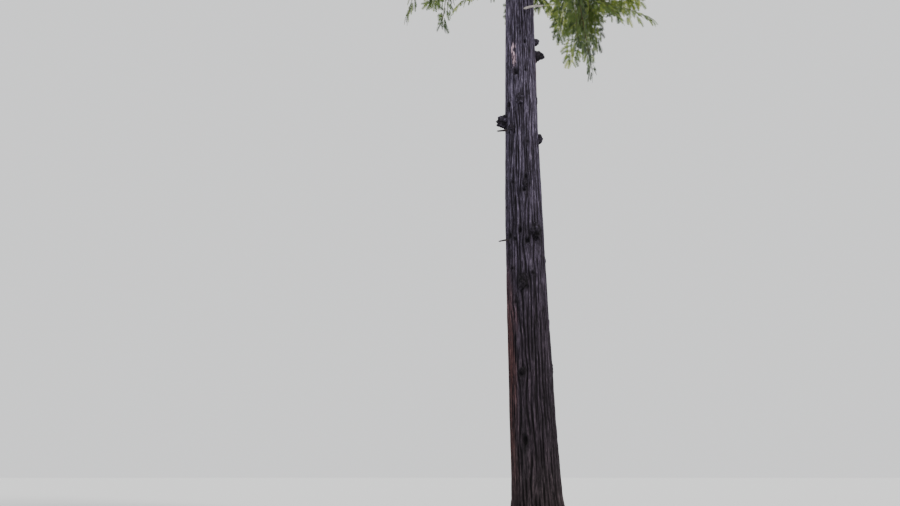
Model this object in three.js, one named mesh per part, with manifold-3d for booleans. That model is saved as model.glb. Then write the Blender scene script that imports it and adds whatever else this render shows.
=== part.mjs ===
// A redwood tree on level ground, in millimetres, +Z up, with its origin on the flat cut under the trunk.
// The tree is 54 m tall in life and is scaled evenly to 40 m, so every size here is 40/54 of the real one.
// A bearing is an angle round the trunk: 0 faces -Y, the side that the photograph shows, and 90 faces +X.
import * as THREE from "three";
import { mergeVertices } from "three/addons/utils/BufferGeometryUtils.js";
import Module from "manifold-3d";

const wasm = await Module();
wasm.setup();
const { Manifold, Mesh } = wasm;
const { degToRad, lerp, smoothstep } = THREE.MathUtils;
const UP = new THREE.Vector3(0, 0, 1);

// The trunk: a cone that runs to the tip, with a root flare that dies away above the ground.
const TREE_HEIGHT = 40000;
const BUTT_RADIUS = 490;
const TIP_RADIUS = 7;
const FLARE = 150;
const FLARE_HEIGHT = 360;
const ROOT_LOBES = 5;
const LOBE_DEPTH = 75;
const LOBE_HEIGHT = 420;
const LOBE_TURN = degToRad(25);
const SWEEP_X = 75;
const SWEEP_X_LENGTH = 25400;
const SWEEP_Y = 60;
const SWEEP_Y_LENGTH = 33000;
const TRUNK_SIDES = 16;
const TRUNK_LOW = 1900;
const TRUNK_LOW_RINGS = 7;
const TRUNK_LOW_CROWDING = 1.6;
const TRUNK_HIGH_RINGS = 18;

// Burls and knots on the side that shows: height, bearing, width, height and how far they stand out.
const BURLS = [
  { height: 11390, bearing: 84, wide: 120, tall: 190, out: 100 },
  { height: 11020, bearing: 86, wide: 200, tall: 300, out: 200 },
  { height: 9640, bearing: -10, wide: 180, tall: 280, out: 70 },
  { height: 9200, bearing: -84, wide: 200, tall: 340, out: 200 },
  { height: 8930, bearing: -45, wide: 150, tall: 190, out: 60 },
  { height: 8740, bearing: 80, wide: 130, tall: 260, out: 90 },
  { height: 7450, bearing: 1, wide: 110, tall: 150, out: 50 },
  { height: 6320, bearing: 29, wide: 230, tall: 360, out: 120 },
  { height: 5170, bearing: -15, wide: 200, tall: 380, out: 80 },
  { height: 3270, bearing: -24, wide: 110, tall: 150, out: 50 },
];
const BURL_LUMPS = 0.14;
const BURL_SUNK = 0.2;

// Burls like them on the far side, which doesn't show.
const FAR_BURLS = 4;
const FAR_BURL_LOWEST = 2600;
const FAR_BURL_HIGHEST = 11800;
const FAR_BURL_SIZE = 130;
const FAR_BURL_TURN = 70;
const FAR_BURL_OUT = 0.6;

// Broken dead limbs: height and bearing of the root, the way they point, their length and root radius.
const STUBS = [
  { height: 12170, bearing: 9, points: 75, rise: 7, length: 430, radius: 27 },
  { height: 8900, bearing: -56, points: -88, rise: 3, length: 240, radius: 24 },
  { height: 6200, bearing: -60, points: -90, rise: -1, length: 210, radius: 21 },
  { height: 10230, bearing: 165, points: 160, rise: -8, length: 380, radius: 20 },
];
const STUB_ROOT_DEPTH = 0.2;
const STUB_SAG = 30;
const STUB_TAPER = 0.55;
const STUB_STEPS = 3;

// The crown: how far it reaches from the trunk, widest a little above its foot.
const CROWN_FOOT = 14200;
const CROWN_RADIUS = 3700;
const CROWN_TAPER = 0.62;
const FOOT_SHARE = 0.78;
const FULL_AT = 0.16;
const SHORTEST_REACH = 480;

// Boughs on a golden spiral, closer together towards the top. The lowest have a bare limb before their mass.
const BOUGHS = 46;
const LIMBED = 8;
const TOP_BOUGH = 39200;
const CROWDING = 1.25;
const GOLDEN_ANGLE = degToRad(137.508);
const FIRST_BEARING = degToRad(118);
const HEIGHT_SPREAD = 140;
const BEARING_SPREAD = 0.13;
const REACH_SPREAD = 0.12;
const LAUNCH_LOW = degToRad(6);
const LAUNCH_HIGH = degToRad(52);
const LAUNCH_BEND = 1.4;
const LAUNCH_SPREAD = 0.07;
const SAG_LOW = 0.52;
const SAG_HIGH = 0.3;
const LIFT_LOW = 0.24;
const LIFT_HIGH = 0.1;
const SIDE_BEND = degToRad(11);
const LIMB_SLIMNESS = 0.0125;
const LIMB_LEAST = 6;
const LIMB_TIP_SHARE = 0.16;
const COLLAR_SWELL = 0.55;
const COLLAR_LENGTH = 130;
const LIMB_SHARE = 0.4;
const LIMB_SIDES = 6;
const LIMB_STEPS = 3;

// A mass of foliage: one stem, twigs on a golden spiral round it, and toothed blades that stand for sprays.
const STEM_STEPS = 3;
const STEM_BLADE_FROM = 0.82;
const BARE_STEM = 0.22;
const BARE_STEM_PAST_LIMB = 0.03;
const LAST_TWIG = 0.9;
const TWIG_SPACING = 540;
const FEWEST_TWIGS = 6;
const TWIG_REACH = 0.42;
const TWIG_TIP_SHARE = 0.4;
const TWIG_RADIUS = 9;
const TWIG_SLIMNESS = 0.002;
const TWIG_TAPER = 0.7;
const LENGTH_SPREAD = 0.15;
const TWIG_FORWARD = degToRad(58);
const FORWARD_SPREAD = 0.16;
const ROUND_SPREAD = 0.4;
const TWIG_RISE = 1;
const TWIG_DROOP = 0.2;
const TWIG_SAG = 0.18;
const SIDE_SPRAY_FROM = 2100;
const SIDE_SPRAY_AT = 0.6;
const SIDE_SPRAY_FORWARD = degToRad(50);
const SIDE_SPRAY_RISE = 0.3;
const SIDE_STALK = 0.16;
const SIDE_SHARE = 0.85;
const BLADE_LENGTH = 0.3;
const BLADE_SPARE = 280;
const BLADE_WIDTH = 0.66;
const BLADE_THICKNESS = 0.022;
const BLADE_ROLL = 0.9;
const TEETH_LONG = 3;
const TEETH_SHORT = 2;
const TOOTH_SWEEP = 0.92;
const TOOTH_VALLEY = 0.36;
const TIP_TOOTH = 0.4;
const WIDEST_FROM = 0.42;
const NARROW_TO = 0.86;

// Room between pieces: between two masses, between a mass and the trunk, and at the seats.
const RIM = 60;
const TRUNK_RIM = 110;
const CLEARANCE = 0.35;
const CURVE_SAMPLES = 14;
const CURVE_STEP = 0.01;

// What each chance is drawn for, so that every draw has its own number.
const SEED = 4.7;
const FOR_BOUGH = { height: 1, bearing: 2, reach: 3, slope: 4, bend: 5 };
const FOR_TWIG = { forward: 1, round: 2, length: 3, roll: 4, sideRise: 5, sideRoll: 6, side: 7 };
const FOR_FAR_BURL = { size: 61, bearing: 62 };

const BARK = new THREE.MeshStandardMaterial({ color: 0x4a4044, roughness: 0.92, metalness: 0 });
const LIMB_BARK = new THREE.MeshStandardMaterial({ color: 0x594a45, roughness: 0.9, metalness: 0 });
const DEAD_WOOD = new THREE.MeshStandardMaterial({ color: 0x8d8580, roughness: 0.85, metalness: 0 });
const FOLIAGE = new THREE.MeshStandardMaterial({ color: 0x5f7a35, roughness: 0.7, metalness: 0 });

// A number from 0 to 1 that depends only on the seed and on the whole numbers given.
function chance(first, second = 0, third = 0) {
  const angle = (first + SEED) * 12.9898 + (second + SEED) * 78.233 + (third + SEED) * 37.719;
  const wave = Math.sin(angle) * 43758.5453;
  return wave - Math.floor(wave);
}

function spread(amount, ...keys) {
  return (2 * chance(...keys) - 1) * amount;
}

function towards(bearing) {
  return new THREE.Vector3(Math.sin(bearing), -Math.cos(bearing), 0);
}

// A geometry of unit size with its shared corners merged, before they are moved to their real places.
function merged(geometry) {
  geometry.deleteAttribute("normal");
  geometry.deleteAttribute("uv");
  return mergeVertices(geometry, 1e-4);
}

// A closed geometry with merged corners as an exact solid.
function solid(geometry) {
  return new Manifold(
    new Mesh({
      numProp: 3,
      vertProperties: new Float32Array(geometry.getAttribute("position").array),
      triVerts: new Uint32Array(geometry.index.array),
    }),
  );
}

function geometryOf(made) {
  const mesh = made.getMesh();
  return new THREE.BufferGeometry()
    .setAttribute("position", new THREE.BufferAttribute(mesh.vertProperties, 3))
    .setIndex(new THREE.BufferAttribute(mesh.triVerts, 1));
}

function largest(made) {
  return made.decompose().reduce((best, piece) => (piece.volume() > best.volume() ? piece : best));
}

function stationsBetween(from, to, steps) {
  return Array.from({ length: steps + 1 }, (_, i) => lerp(from, to, i / steps));
}

// The frame of a curve: its point, the level direction across it, and the direction square to both.
function frameOn(curve, t) {
  const point = curve(t);
  const tangent = curve(t + CURVE_STEP).sub(curve(t - CURVE_STEP)).normalize();
  const across = new THREE.Vector3().crossVectors(tangent, UP).normalize();
  return { point, tangent, across, normal: new THREE.Vector3().crossVectors(across, tangent) };
}

// A tapering limb: a capped cylinder whose rows are laid on the given stations of a centreline.
function limb(stations, sides, frameAt, radiusAt) {
  const rows = stations.length - 1;
  const geometry = merged(new THREE.CylinderGeometry(1, 1, 1, sides, rows));
  const position = geometry.getAttribute("position");
  for (let i = 0; i < position.count; i++) {
    const station = stations[Math.round((position.getY(i) + 0.5) * rows)];
    const { point, across, normal } = frameAt(station);
    const angle = Math.atan2(position.getX(i), position.getZ(i));
    const radius = radiusAt(station, angle);
    point.addScaledVector(across, position.getX(i) * radius);
    point.addScaledVector(normal, position.getZ(i) * radius);
    position.setXYZ(i, point.x, point.y, point.z);
  }
  return solid(geometry);
}

// The trunk's centre sways a little with height, and starts at the origin.
function trunkCentre(height) {
  const x = -SWEEP_X * Math.sin((2 * Math.PI * height) / SWEEP_X_LENGTH);
  const y = SWEEP_Y * Math.sin((2 * Math.PI * height) / SWEEP_Y_LENGTH);
  return new THREE.Vector3(x, y, height);
}

function trunkRadius(height, bearing = 0) {
  const cone = lerp(BUTT_RADIUS, TIP_RADIUS, height / TREE_HEIGHT);
  const flare = FLARE * Math.exp(-height / FLARE_HEIGHT);
  const lobes = LOBE_DEPTH * Math.exp(-height / LOBE_HEIGHT) * Math.cos(ROOT_LOBES * bearing + LOBE_TURN);
  return cone + flare + lobes;
}

// The trunk without its burls, grown outward all over by a small amount.
function trunkSolid(grown) {
  const low = stationsBetween(0, 1, TRUNK_LOW_RINGS).map((share) => TRUNK_LOW * share ** TRUNK_LOW_CROWDING);
  const high = stationsBetween(TRUNK_LOW, TREE_HEIGHT, TRUNK_HIGH_RINGS);
  const frameAt = (height) => ({
    point: trunkCentre(height),
    across: new THREE.Vector3(1, 0, 0),
    normal: new THREE.Vector3(0, -1, 0),
  });
  const radiusAt = (height, bearing) => trunkRadius(height, bearing) + grown;
  return limb([...low, ...high.slice(1)], TRUNK_SIDES, frameAt, radiusAt);
}

// A lumpy ball, sunk into the trunk.
function burl({ height, bearing, wide, tall, out }, key) {
  const turn = degToRad(bearing);
  const ball = merged(new THREE.IcosahedronGeometry(1, 1));
  const position = ball.getAttribute("position");
  for (let i = 0; i < position.count; i++) {
    const corner = new THREE.Vector3().fromBufferAttribute(position, i);
    corner.multiplyScalar(1 + spread(BURL_LUMPS, key, i));
    position.setXYZ(i, corner.x, corner.y, corner.z);
  }
  const fromAxis = trunkRadius(height, turn) - out * BURL_SUNK;
  const centre = trunkCentre(height).addScaledVector(towards(turn), fromAxis);
  ball.scale(wide / 2, out * (1 + BURL_SUNK), tall / 2);
  ball.rotateZ(turn);
  ball.translate(centre.x, centre.y, centre.z);
  return solid(ball);
}

function farBurl(index) {
  const size = FAR_BURL_SIZE * lerp(0.7, 1.3, chance(index, FOR_FAR_BURL.size));
  return {
    height: lerp(FAR_BURL_LOWEST, FAR_BURL_HIGHEST, (index + 0.5) / FAR_BURLS),
    bearing: 180 + spread(FAR_BURL_TURN, index, FOR_FAR_BURL.bearing),
    wide: size,
    tall: size,
    out: size * FAR_BURL_OUT,
  };
}

function makeTrunk() {
  const farBurls = Array.from({ length: FAR_BURLS }, (_, i) => farBurl(i));
  return Manifold.union([trunkSolid(0), ...[...BURLS, ...farBurls].map(burl)]);
}

const trunkRoom = trunkSolid(CLEARANCE);

// A broken limb, cut off where it meets the trunk.
function makeStub({ height, bearing, points, rise, length, radius }) {
  const buried = trunkRadius(height) * STUB_ROOT_DEPTH;
  const start = trunkCentre(height).addScaledVector(towards(degToRad(bearing)), trunkRadius(height) - buried);
  const way = towards(degToRad(points)).setZ(Math.tan(degToRad(rise))).normalize();
  const curve = (t) =>
    start
      .clone()
      .addScaledVector(way, t * (length + buried))
      .addScaledVector(UP, -STUB_SAG * t * t);
  const radiusAt = (t) => radius * lerp(1, STUB_TAPER, t);
  const whole = limb(stationsBetween(0, 1, STUB_STEPS), LIMB_SIDES, (t) => frameOn(curve, t), radiusAt);
  return largest(whole.subtract(trunkRoom));
}

// How far the crown reaches from the trunk at a height.
function crownReach(height) {
  const share = (height - CROWN_FOOT) / (TREE_HEIGHT - CROWN_FOOT);
  const foot = lerp(FOOT_SHARE, 1, smoothstep(share, 0, FULL_AT));
  return Math.max(SHORTEST_REACH, CROWN_RADIUS * foot * (1 - share) ** CROWN_TAPER);
}

// A bough's plan: where it leaves the trunk, and its sagging line, which turns up again at the tip.
function boughPlan(index) {
  const share = index / (BOUGHS - 1);
  const even = lerp(CROWN_FOOT, TOP_BOUGH, 1 - (1 - share) ** CROWDING);
  const height = even + spread(HEIGHT_SPREAD, index, FOR_BOUGH.height);
  const up = (Math.max(0, height - CROWN_FOOT) / (TREE_HEIGHT - CROWN_FOOT)) ** LAUNCH_BEND;
  const bearing = FIRST_BEARING + index * GOLDEN_ANGLE + spread(BEARING_SPREAD, index, FOR_BOUGH.bearing);
  const reach = crownReach(height) * (1 + spread(REACH_SPREAD, index, FOR_BOUGH.reach));
  const slope = Math.tan(lerp(LAUNCH_LOW, LAUNCH_HIGH, up) + spread(LAUNCH_SPREAD, index, FOR_BOUGH.slope));
  const sag = lerp(SAG_LOW, SAG_HIGH, up);
  const lift = lerp(LIFT_LOW, LIFT_HIGH, up);
  const bend = spread(SIDE_BEND, index, FOR_BOUGH.bend);
  const root = trunkCentre(height);
  const curve = (t) =>
    root
      .clone()
      .addScaledVector(towards(bearing + bend * t * t), reach * t)
      .addScaledVector(UP, reach * (slope * t - sag * t * t + lift * t ** 3));
  const radiusAt = (t) => {
    const fromBark = Math.max(0, reach * t - trunkRadius(height));
    const collar = 1 + COLLAR_SWELL * Math.exp(-fromBark / COLLAR_LENGTH);
    return (reach * LIMB_SLIMNESS + LIMB_LEAST) * lerp(1, LIMB_TIP_SHARE, t) * collar;
  };
  const samples = stationsBetween(0, 1, CURVE_SAMPLES).map(curve);
  return { index, reach, curve, radiusAt, samples, limbed: index < LIMBED };
}

const plans = Array.from({ length: BOUGHS }, (_, i) => boughPlan(i));

function distanceTo(plan, point) {
  return Math.min(...plan.samples.map((sample) => sample.distanceTo(point)));
}

// A point is in a mass's own space if its bough is the nearest one, and if it is clear of the trunk.
function inOwnSpace(plan, point) {
  const axis = trunkCentre(point.z);
  const fromTrunk = Math.hypot(point.x - axis.x, point.y - axis.y) - trunkRadius(point.z);
  if (fromTrunk < TRUNK_RIM || point.z > TREE_HEIGHT) return false;
  const own = distanceTo(plan, point) + RIM;
  return plans.every((other) => other === plan || distanceTo(other, point) > own);
}

function makeBough({ curve, radiusAt }) {
  const stations = stationsBetween(0, LIMB_SHARE, LIMB_STEPS);
  const whole = limb(stations, LIMB_SIDES, (t) => frameOn(curve, t), radiusAt);
  return largest(whole.subtract(trunkRoom));
}

// A line that leaves a point in a direction and sags under its own weight.
function saggingLine(start, direction, length) {
  return (s) =>
    start
      .clone()
      .addScaledVector(direction, length * s)
      .addScaledVector(UP, -length * TWIG_SAG * s * s);
}

// A spray of needles as one closed shape: a three-sided rod through the stalk's stations of a line, and from
// the last of them to the line's end a flat blade, ridged along its upper face, with teeth along both rims.
function spray({ line, stalk, radiusAt, width, thickness, teeth, roll }) {
  const corners = [];
  const triangles = [];
  const corner = (s, aside, above) => {
    const { point, tangent, across, normal } = frameOn(line, s);
    across.applyAxisAngle(tangent, roll);
    normal.applyAxisAngle(tangent, roll);
    return corners.push(point.addScaledVector(across, aside).addScaledVector(normal, above)) - 1;
  };
  const row = (s, half, ridge) => [
    corner(s, half, -ridge / 2),
    corner(s, 0, ridge),
    corner(s, -half, -ridge / 2),
  ];

  const rows = stalk.map((s) => row(s, radiusAt(s), radiusAt(s)));
  triangles.push(...rows[0]);
  for (let i = 1; i < rows.length; i++) {
    const [before, after] = [rows[i - 1], rows[i]];
    for (let j = 0; j < 3; j++) {
      const next = (j + 1) % 3;
      triangles.push(before[j], after[j], after[next], before[j], after[next], before[next]);
    }
  }

  const ridge = (thickness * 2) / 3;
  const along = (tooth) => lerp(stalk.at(-1), 1, tooth / (teeth + TIP_TOOTH));
  let [right, top, left] = rows.at(-1);
  for (let tooth = 0; tooth < teeth; tooth++) {
    const half = (width / 2) * Math.sin(Math.PI * lerp(WIDEST_FROM, NARROW_TO, tooth / teeth));
    const rightPoint = corner(along(tooth + TOOTH_SWEEP), half, -ridge / 2);
    const leftPoint = corner(along(tooth + TOOTH_SWEEP), -half, -ridge / 2);
    if (tooth < teeth - 1) {
      const [nextRight, nextTop, nextLeft] = row(along(tooth + 1), half * TOOTH_VALLEY, ridge);
      triangles.push(top, right, rightPoint, top, rightPoint, nextRight, top, nextRight, nextTop);
      triangles.push(top, leftPoint, left, top, nextLeft, leftPoint, top, nextTop, nextLeft);
      triangles.push(right, nextRight, rightPoint, left, leftPoint, nextLeft);
      triangles.push(right, left, nextLeft, right, nextLeft, nextRight);
      [right, top, left] = [nextRight, nextTop, nextLeft];
    } else {
      const tip = corner(1, 0, -ridge / 2);
      triangles.push(top, right, rightPoint, top, rightPoint, tip, top, leftPoint, left, top, tip, leftPoint);
      triangles.push(right, tip, rightPoint, left, leftPoint, tip, right, left, tip);
    }
  }
  const geometry = new THREE.BufferGeometry().setFromPoints(corners).setIndex(triangles);
  return { corners, made: () => solid(geometry) };
}

// A twig's line, its radius and where its blade begins. Twigs are numbered from the mass's foot to its tip.
function twigPlan({ index, reach, curve, radiusAt }, k, twigs, first, blade) {
  const share = (k + 0.4) / twigs;
  const t = lerp(first, LAST_TWIG, share);
  const { point, tangent, across, normal } = frameOn(curve, t);
  const forward = TWIG_FORWARD + spread(FORWARD_SPREAD, index, k, FOR_TWIG.forward);
  const round = k * GOLDEN_ANGLE + spread(ROUND_SPREAD, index, k, FOR_TWIG.round);
  const direction = tangent
    .clone()
    .multiplyScalar(Math.cos(forward))
    .addScaledVector(across, Math.sin(forward) * Math.cos(round))
    .addScaledVector(normal, Math.sin(forward) * Math.sin(round) * TWIG_RISE - TWIG_DROOP)
    .normalize();
  const even = reach * TWIG_REACH * lerp(1, TWIG_TIP_SHARE, share);
  const bare = even * (1 + spread(LENGTH_SPREAD, index, k, FOR_TWIG.length));
  const line = saggingLine(point, direction, bare + blade);
  const radius = Math.min(TWIG_RADIUS + reach * TWIG_SLIMNESS, radiusAt(t) * TWIG_TAPER);
  return { line, radius, bladeFrom: bare / (bare + blade) };
}

// The line of the smaller spray that leaves a twig's middle to one side.
function sideLine({ index }, k, twig, blade) {
  const { point, tangent, across } = frameOn(twig.line, twig.bladeFrom * SIDE_SPRAY_AT);
  const side = chance(index, k, FOR_TWIG.side) < 0.5 ? 1 : -1;
  const direction = tangent
    .clone()
    .multiplyScalar(Math.cos(SIDE_SPRAY_FORWARD))
    .addScaledVector(across, side * Math.sin(SIDE_SPRAY_FORWARD))
    .addScaledVector(UP, spread(SIDE_SPRAY_RISE, index, k, FOR_TWIG.sideRise))
    .normalize();
  return saggingLine(point, direction, blade);
}

// One mass of foliage: the bough's stem runs on to a blade at its tip, and twigs leave it on a golden spiral.
// Each twig ends in a blade, and on a large mass it carries a smaller one aside. A spray that would leave the
// mass's own space is skipped.
function makeMass(plan) {
  const { index, reach, curve, radiusAt, limbed } = plan;
  const teeth = limbed ? TEETH_LONG : TEETH_SHORT;
  const foot = limbed ? LIMB_SHARE : 0;
  const gap = (CLEARANCE * CURVE_STEP) / curve(foot + CURVE_STEP).distanceTo(curve(foot));
  const start = limbed ? foot + gap : foot;
  const blade = reach * BLADE_LENGTH + BLADE_SPARE;
  const width = blade * BLADE_WIDTH;
  const thickness = blade * BLADE_THICKNESS;
  const stalk = stationsBetween(start, STEM_BLADE_FROM, STEM_STEPS);
  const pieces = [spray({ line: curve, stalk, radiusAt, width, thickness, teeth, roll: 0 }).made()];

  const fuse = ({ corners, made }) => {
    const [, , , ...pastRoot] = corners;
    const kept = pastRoot.every((corner) => inOwnSpace(plan, corner));
    if (kept) pieces.push(made());
    return kept;
  };
  const twigs = Math.max(FEWEST_TWIGS, Math.round(reach / TWIG_SPACING));
  const first = start + (limbed ? BARE_STEM_PAST_LIMB : BARE_STEM);
  for (let k = 0; k < twigs; k++) {
    const twig = twigPlan(plan, k, twigs, first, blade);
    const spraying = {
      line: twig.line,
      stalk: [0, twig.bladeFrom],
      radiusAt: (s) => twig.radius * lerp(1, TWIG_TAPER, s),
      width,
      thickness,
      teeth,
      roll: spread(BLADE_ROLL, index, k, FOR_TWIG.roll),
    };
    if (!fuse(spray(spraying)) || reach < SIDE_SPRAY_FROM) continue;
    fuse(
      spray({
        line: sideLine(plan, k, twig, blade),
        stalk: [0, SIDE_STALK],
        radiusAt: () => twig.radius * TWIG_TAPER * SIDE_SHARE,
        width: width * SIDE_SHARE,
        thickness,
        teeth: TEETH_SHORT,
        roll: spread(BLADE_ROLL, index, k, FOR_TWIG.sideRoll),
      }),
    );
  }
  return largest(Manifold.union(pieces).subtract(trunkRoom));
}

const tree = new THREE.Group();

function place(name, made, material) {
  const mesh = new THREE.Mesh(geometryOf(made), material);
  mesh.name = name;
  tree.add(mesh);
}

const numbered = (index) => String(index + 1).padStart(2, "0");

place("trunk", makeTrunk(), BARK);
STUBS.forEach((stub, i) => place(`dead_stub_${i + 1}`, makeStub(stub), DEAD_WOOD));
for (const plan of plans) {
  if (plan.limbed) place(`bough_${numbered(plan.index)}`, makeBough(plan), LIMB_BARK);
  place(`foliage_${numbered(plan.index)}`, makeMass(plan), FOLIAGE);
}

export default tree;
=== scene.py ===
# %% [markdown]
# # A redwood tree
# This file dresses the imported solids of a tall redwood: furrowed bark, dead limbs, boughs, twigs and
# needles. Everything is in metres, with +Z up the trunk and the origin on the flat cut at the ground. The
# real tree is 54 m tall and the model is scaled evenly to 40 m, so each length here is 40/54 of the real
# one. A bearing is an angle round the trunk: 0 faces -Y, towards the camera, and a quarter turn faces +X.

import bpy
import numpy as np
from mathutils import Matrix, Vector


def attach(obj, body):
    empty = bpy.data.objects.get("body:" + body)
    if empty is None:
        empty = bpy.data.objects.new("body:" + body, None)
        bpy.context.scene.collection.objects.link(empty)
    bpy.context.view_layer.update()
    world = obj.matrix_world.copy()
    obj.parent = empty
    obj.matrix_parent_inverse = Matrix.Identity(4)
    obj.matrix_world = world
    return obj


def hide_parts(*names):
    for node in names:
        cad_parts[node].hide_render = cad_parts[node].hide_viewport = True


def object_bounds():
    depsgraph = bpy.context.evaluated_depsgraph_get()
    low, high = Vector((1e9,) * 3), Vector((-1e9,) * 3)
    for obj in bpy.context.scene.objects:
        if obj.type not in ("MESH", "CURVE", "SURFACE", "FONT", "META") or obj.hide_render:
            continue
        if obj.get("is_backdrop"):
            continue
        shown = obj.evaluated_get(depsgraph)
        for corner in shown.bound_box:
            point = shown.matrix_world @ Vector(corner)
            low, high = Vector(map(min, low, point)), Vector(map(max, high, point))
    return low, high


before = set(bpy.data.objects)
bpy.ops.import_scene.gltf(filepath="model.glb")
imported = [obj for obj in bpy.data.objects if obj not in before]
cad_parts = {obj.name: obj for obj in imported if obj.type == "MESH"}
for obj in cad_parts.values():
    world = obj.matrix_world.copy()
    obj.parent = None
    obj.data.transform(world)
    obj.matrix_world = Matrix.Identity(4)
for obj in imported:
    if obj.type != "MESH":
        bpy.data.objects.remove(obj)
CAD_LOW, CAD_HIGH = (np.array(corner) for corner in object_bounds())
print("packed solids", len(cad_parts), "from", CAD_LOW.round(2), "to", CAD_HIGH.round(2))

# %% [markdown]
# ## Chance that repeats
# A living thing is uneven, but a file has to give the same tree each time. So no random generator is
# used: a chance is the fractional part of a large multiple of a sine, worked out from whole numbers that
# say what it is for. It takes arrays as readily as numbers, so ten thousand twigs can be drawn in one
# line.

# %% Chance and blending
SEED = 4.7
CHANCE_WEIGHTS, CHANCE_STRETCH = (12.9898, 78.233, 37.719), 43758.5453
UP = np.array([0.0, 0.0, 1.0])
TURN = 2 * np.pi
GOLDEN_ANGLE = np.radians(137.508)


def chance(first, second=0, third=0):
    """The fractional part of a large multiple of the sine of a weighted sum of the numbers: 0 to 1."""
    angle = sum((key + SEED) * weight for key, weight in zip((first, second, third), CHANCE_WEIGHTS))
    wave = np.sin(angle) * CHANCE_STRETCH
    return wave - np.floor(wave)


def centred(share):
    """A share from 0 to 1, stretched to run from -1 to 1."""
    return 2 * share - 1


def spread(amount, *keys):
    """A chance stretched to run from minus the amount to plus the amount."""
    return centred(chance(*keys)) * amount


def lerp(start, end, share):
    """The start, moved the given share of the way to the end."""
    return start + (end - start) * share


def smoothstep(value, low, high):
    """Nothing up to low, 1 past high, and 3 t squared less 2 t cubed in between."""
    t = np.clip((value - low) / (high - low), 0, 1)
    return t * t * (3 - 2 * t)


def unit(vectors):
    """Vectors divided by their own length."""
    return vectors / np.linalg.norm(vectors, axis=-1, keepdims=True)


def towards(bearing):
    """The level direction at a bearing: sine across, minus cosine away."""
    bearing = np.asarray(bearing, float)
    return np.stack([np.sin(bearing), -np.cos(bearing), np.zeros_like(bearing)], axis=-1)


print("golden angle", round(float(np.degrees(GOLDEN_ANGLE)), 1), "first chance", round(float(chance(1)), 3))

# %% Noise in space
NOISE_KEY_STEP = 31


def smooth_noise(points, key=0):
    """Each whole-number corner of space has a chance; a point blends the eight round it by smoothstep."""
    cell = np.floor(points)
    inside = smoothstep(points - cell, 0, 1)
    total = 0
    for corner in np.ndindex(2, 2, 2):
        weight = np.prod(np.where(corner, inside, 1 - inside), axis=-1)
        i, j, k = (cell[..., axis] + corner[axis] for axis in range(3))
        total = total + weight * chance(i + NOISE_KEY_STEP * key, j, k)
    return total


def rough_noise(points, layers, key=0):
    """Smooth noise laid over itself, each layer twice as fine and half as strong, scaled to 0 to 1."""
    shares = 0.5 ** np.arange(layers)
    total = sum(share * smooth_noise(points * 2**layer, key + layer) for layer, share in enumerate(shares))
    return total / shares.sum()


# %% [markdown]
# ## Getting a surface into Blender
# Blender can build meshes by tools, modifiers or code. This tree has over a million faces, so each piece
# is worked out as whole arrays of corners and faces and handed over at once. A long round thing, such as
# a trunk or a twig, is a stack of rings: quads join each ring to the next, and a fan to one point closes
# either end.

# %% Rings, fans and pieces
def tube_faces(count, rows, sides):
    """For each of count tubes: quads from ring to ring, and fans to a foot point and a tip point. A
    tube's corners are its rings from foot to tip, then the foot point, then the tip point. Rings turn
    clockwise seen from below."""
    side = np.arange(sides)
    next_side = (side + 1) % sides
    first = np.arange(count)[:, None, None] * (rows * sides + 2)
    ring = first + np.arange(rows - 1)[None, :, None] * sides
    quads = np.stack([ring + side, ring + next_side, ring + next_side + sides, ring + side + sides], axis=-1)
    first = first[:, :, 0]
    last = first + (rows - 1) * sides
    foot = np.broadcast_to(first + rows * sides, (count, sides))
    foot_fan = np.stack([first + next_side, first + side, foot], axis=-1)
    tip_fan = np.stack([last + side, last + next_side, foot + 1], axis=-1)
    return quads.reshape(-1, 4), np.concatenate([foot_fan, tip_fan]).reshape(-1, 3)


def tube_corners(rings, feet, tips):
    """The rings of each tube, then its foot point and its tip point, as one list of corners."""
    count = len(rings)
    return np.concatenate([rings.reshape(count, -1, 3), feet[:, None], tips[:, None]], axis=1).reshape(-1, 3)


def add_piece(name, corners, faces, finishes, shades=None, dealt=None):
    """One mesh from arrays. Shades are numbers, or triples, kept at the corners. Dealt says which finish
    a face takes."""
    mesh = bpy.data.meshes.new(name)
    loops = np.concatenate([part.ravel() for part in faces]).astype(np.int32)
    sizes = np.concatenate([np.full(len(part), part.shape[1]) for part in faces])
    mesh.vertices.add(len(corners))
    mesh.vertices.foreach_set("co", corners.astype(np.float32).ravel())
    mesh.loops.add(len(loops))
    mesh.loops.foreach_set("vertex_index", loops)
    mesh.polygons.add(len(sizes))
    mesh.polygons.foreach_set("loop_start", (np.cumsum(sizes) - sizes).astype(np.int32))
    if dealt is not None:
        mesh.polygons.foreach_set("material_index", dealt.astype(np.int32))
    for title, values in (shades or {}).items():
        values = np.asarray(values, np.float32)
        kind, field = ("FLOAT", "value") if values.ndim == 1 else ("FLOAT_VECTOR", "vector")
        mesh.attributes.new(title, kind, "POINT").data.foreach_set(field, values.ravel())
    mesh.update(calc_edges=True)
    mesh.shade_smooth()
    for finish in finishes:
        mesh.materials.append(finish)
    piece = bpy.data.objects.new(name, mesh)
    bpy.context.scene.collection.objects.link(piece)
    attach(piece, "root")
    print(name, "corners", len(corners), "triangles", int((sizes - 2).sum()))
    return piece


# %% [markdown]
# ## Writing a finish as sums
# A material in Blender is a web of nodes. Wiring it by hand is slow to read, so one small class wraps an
# output socket and lets Python's own signs add the Math nodes, and another makes any other node from its
# type, its settings and what goes into its sockets. Colours go through Mix nodes, because a Math node
# turns a colour grey.

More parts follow.
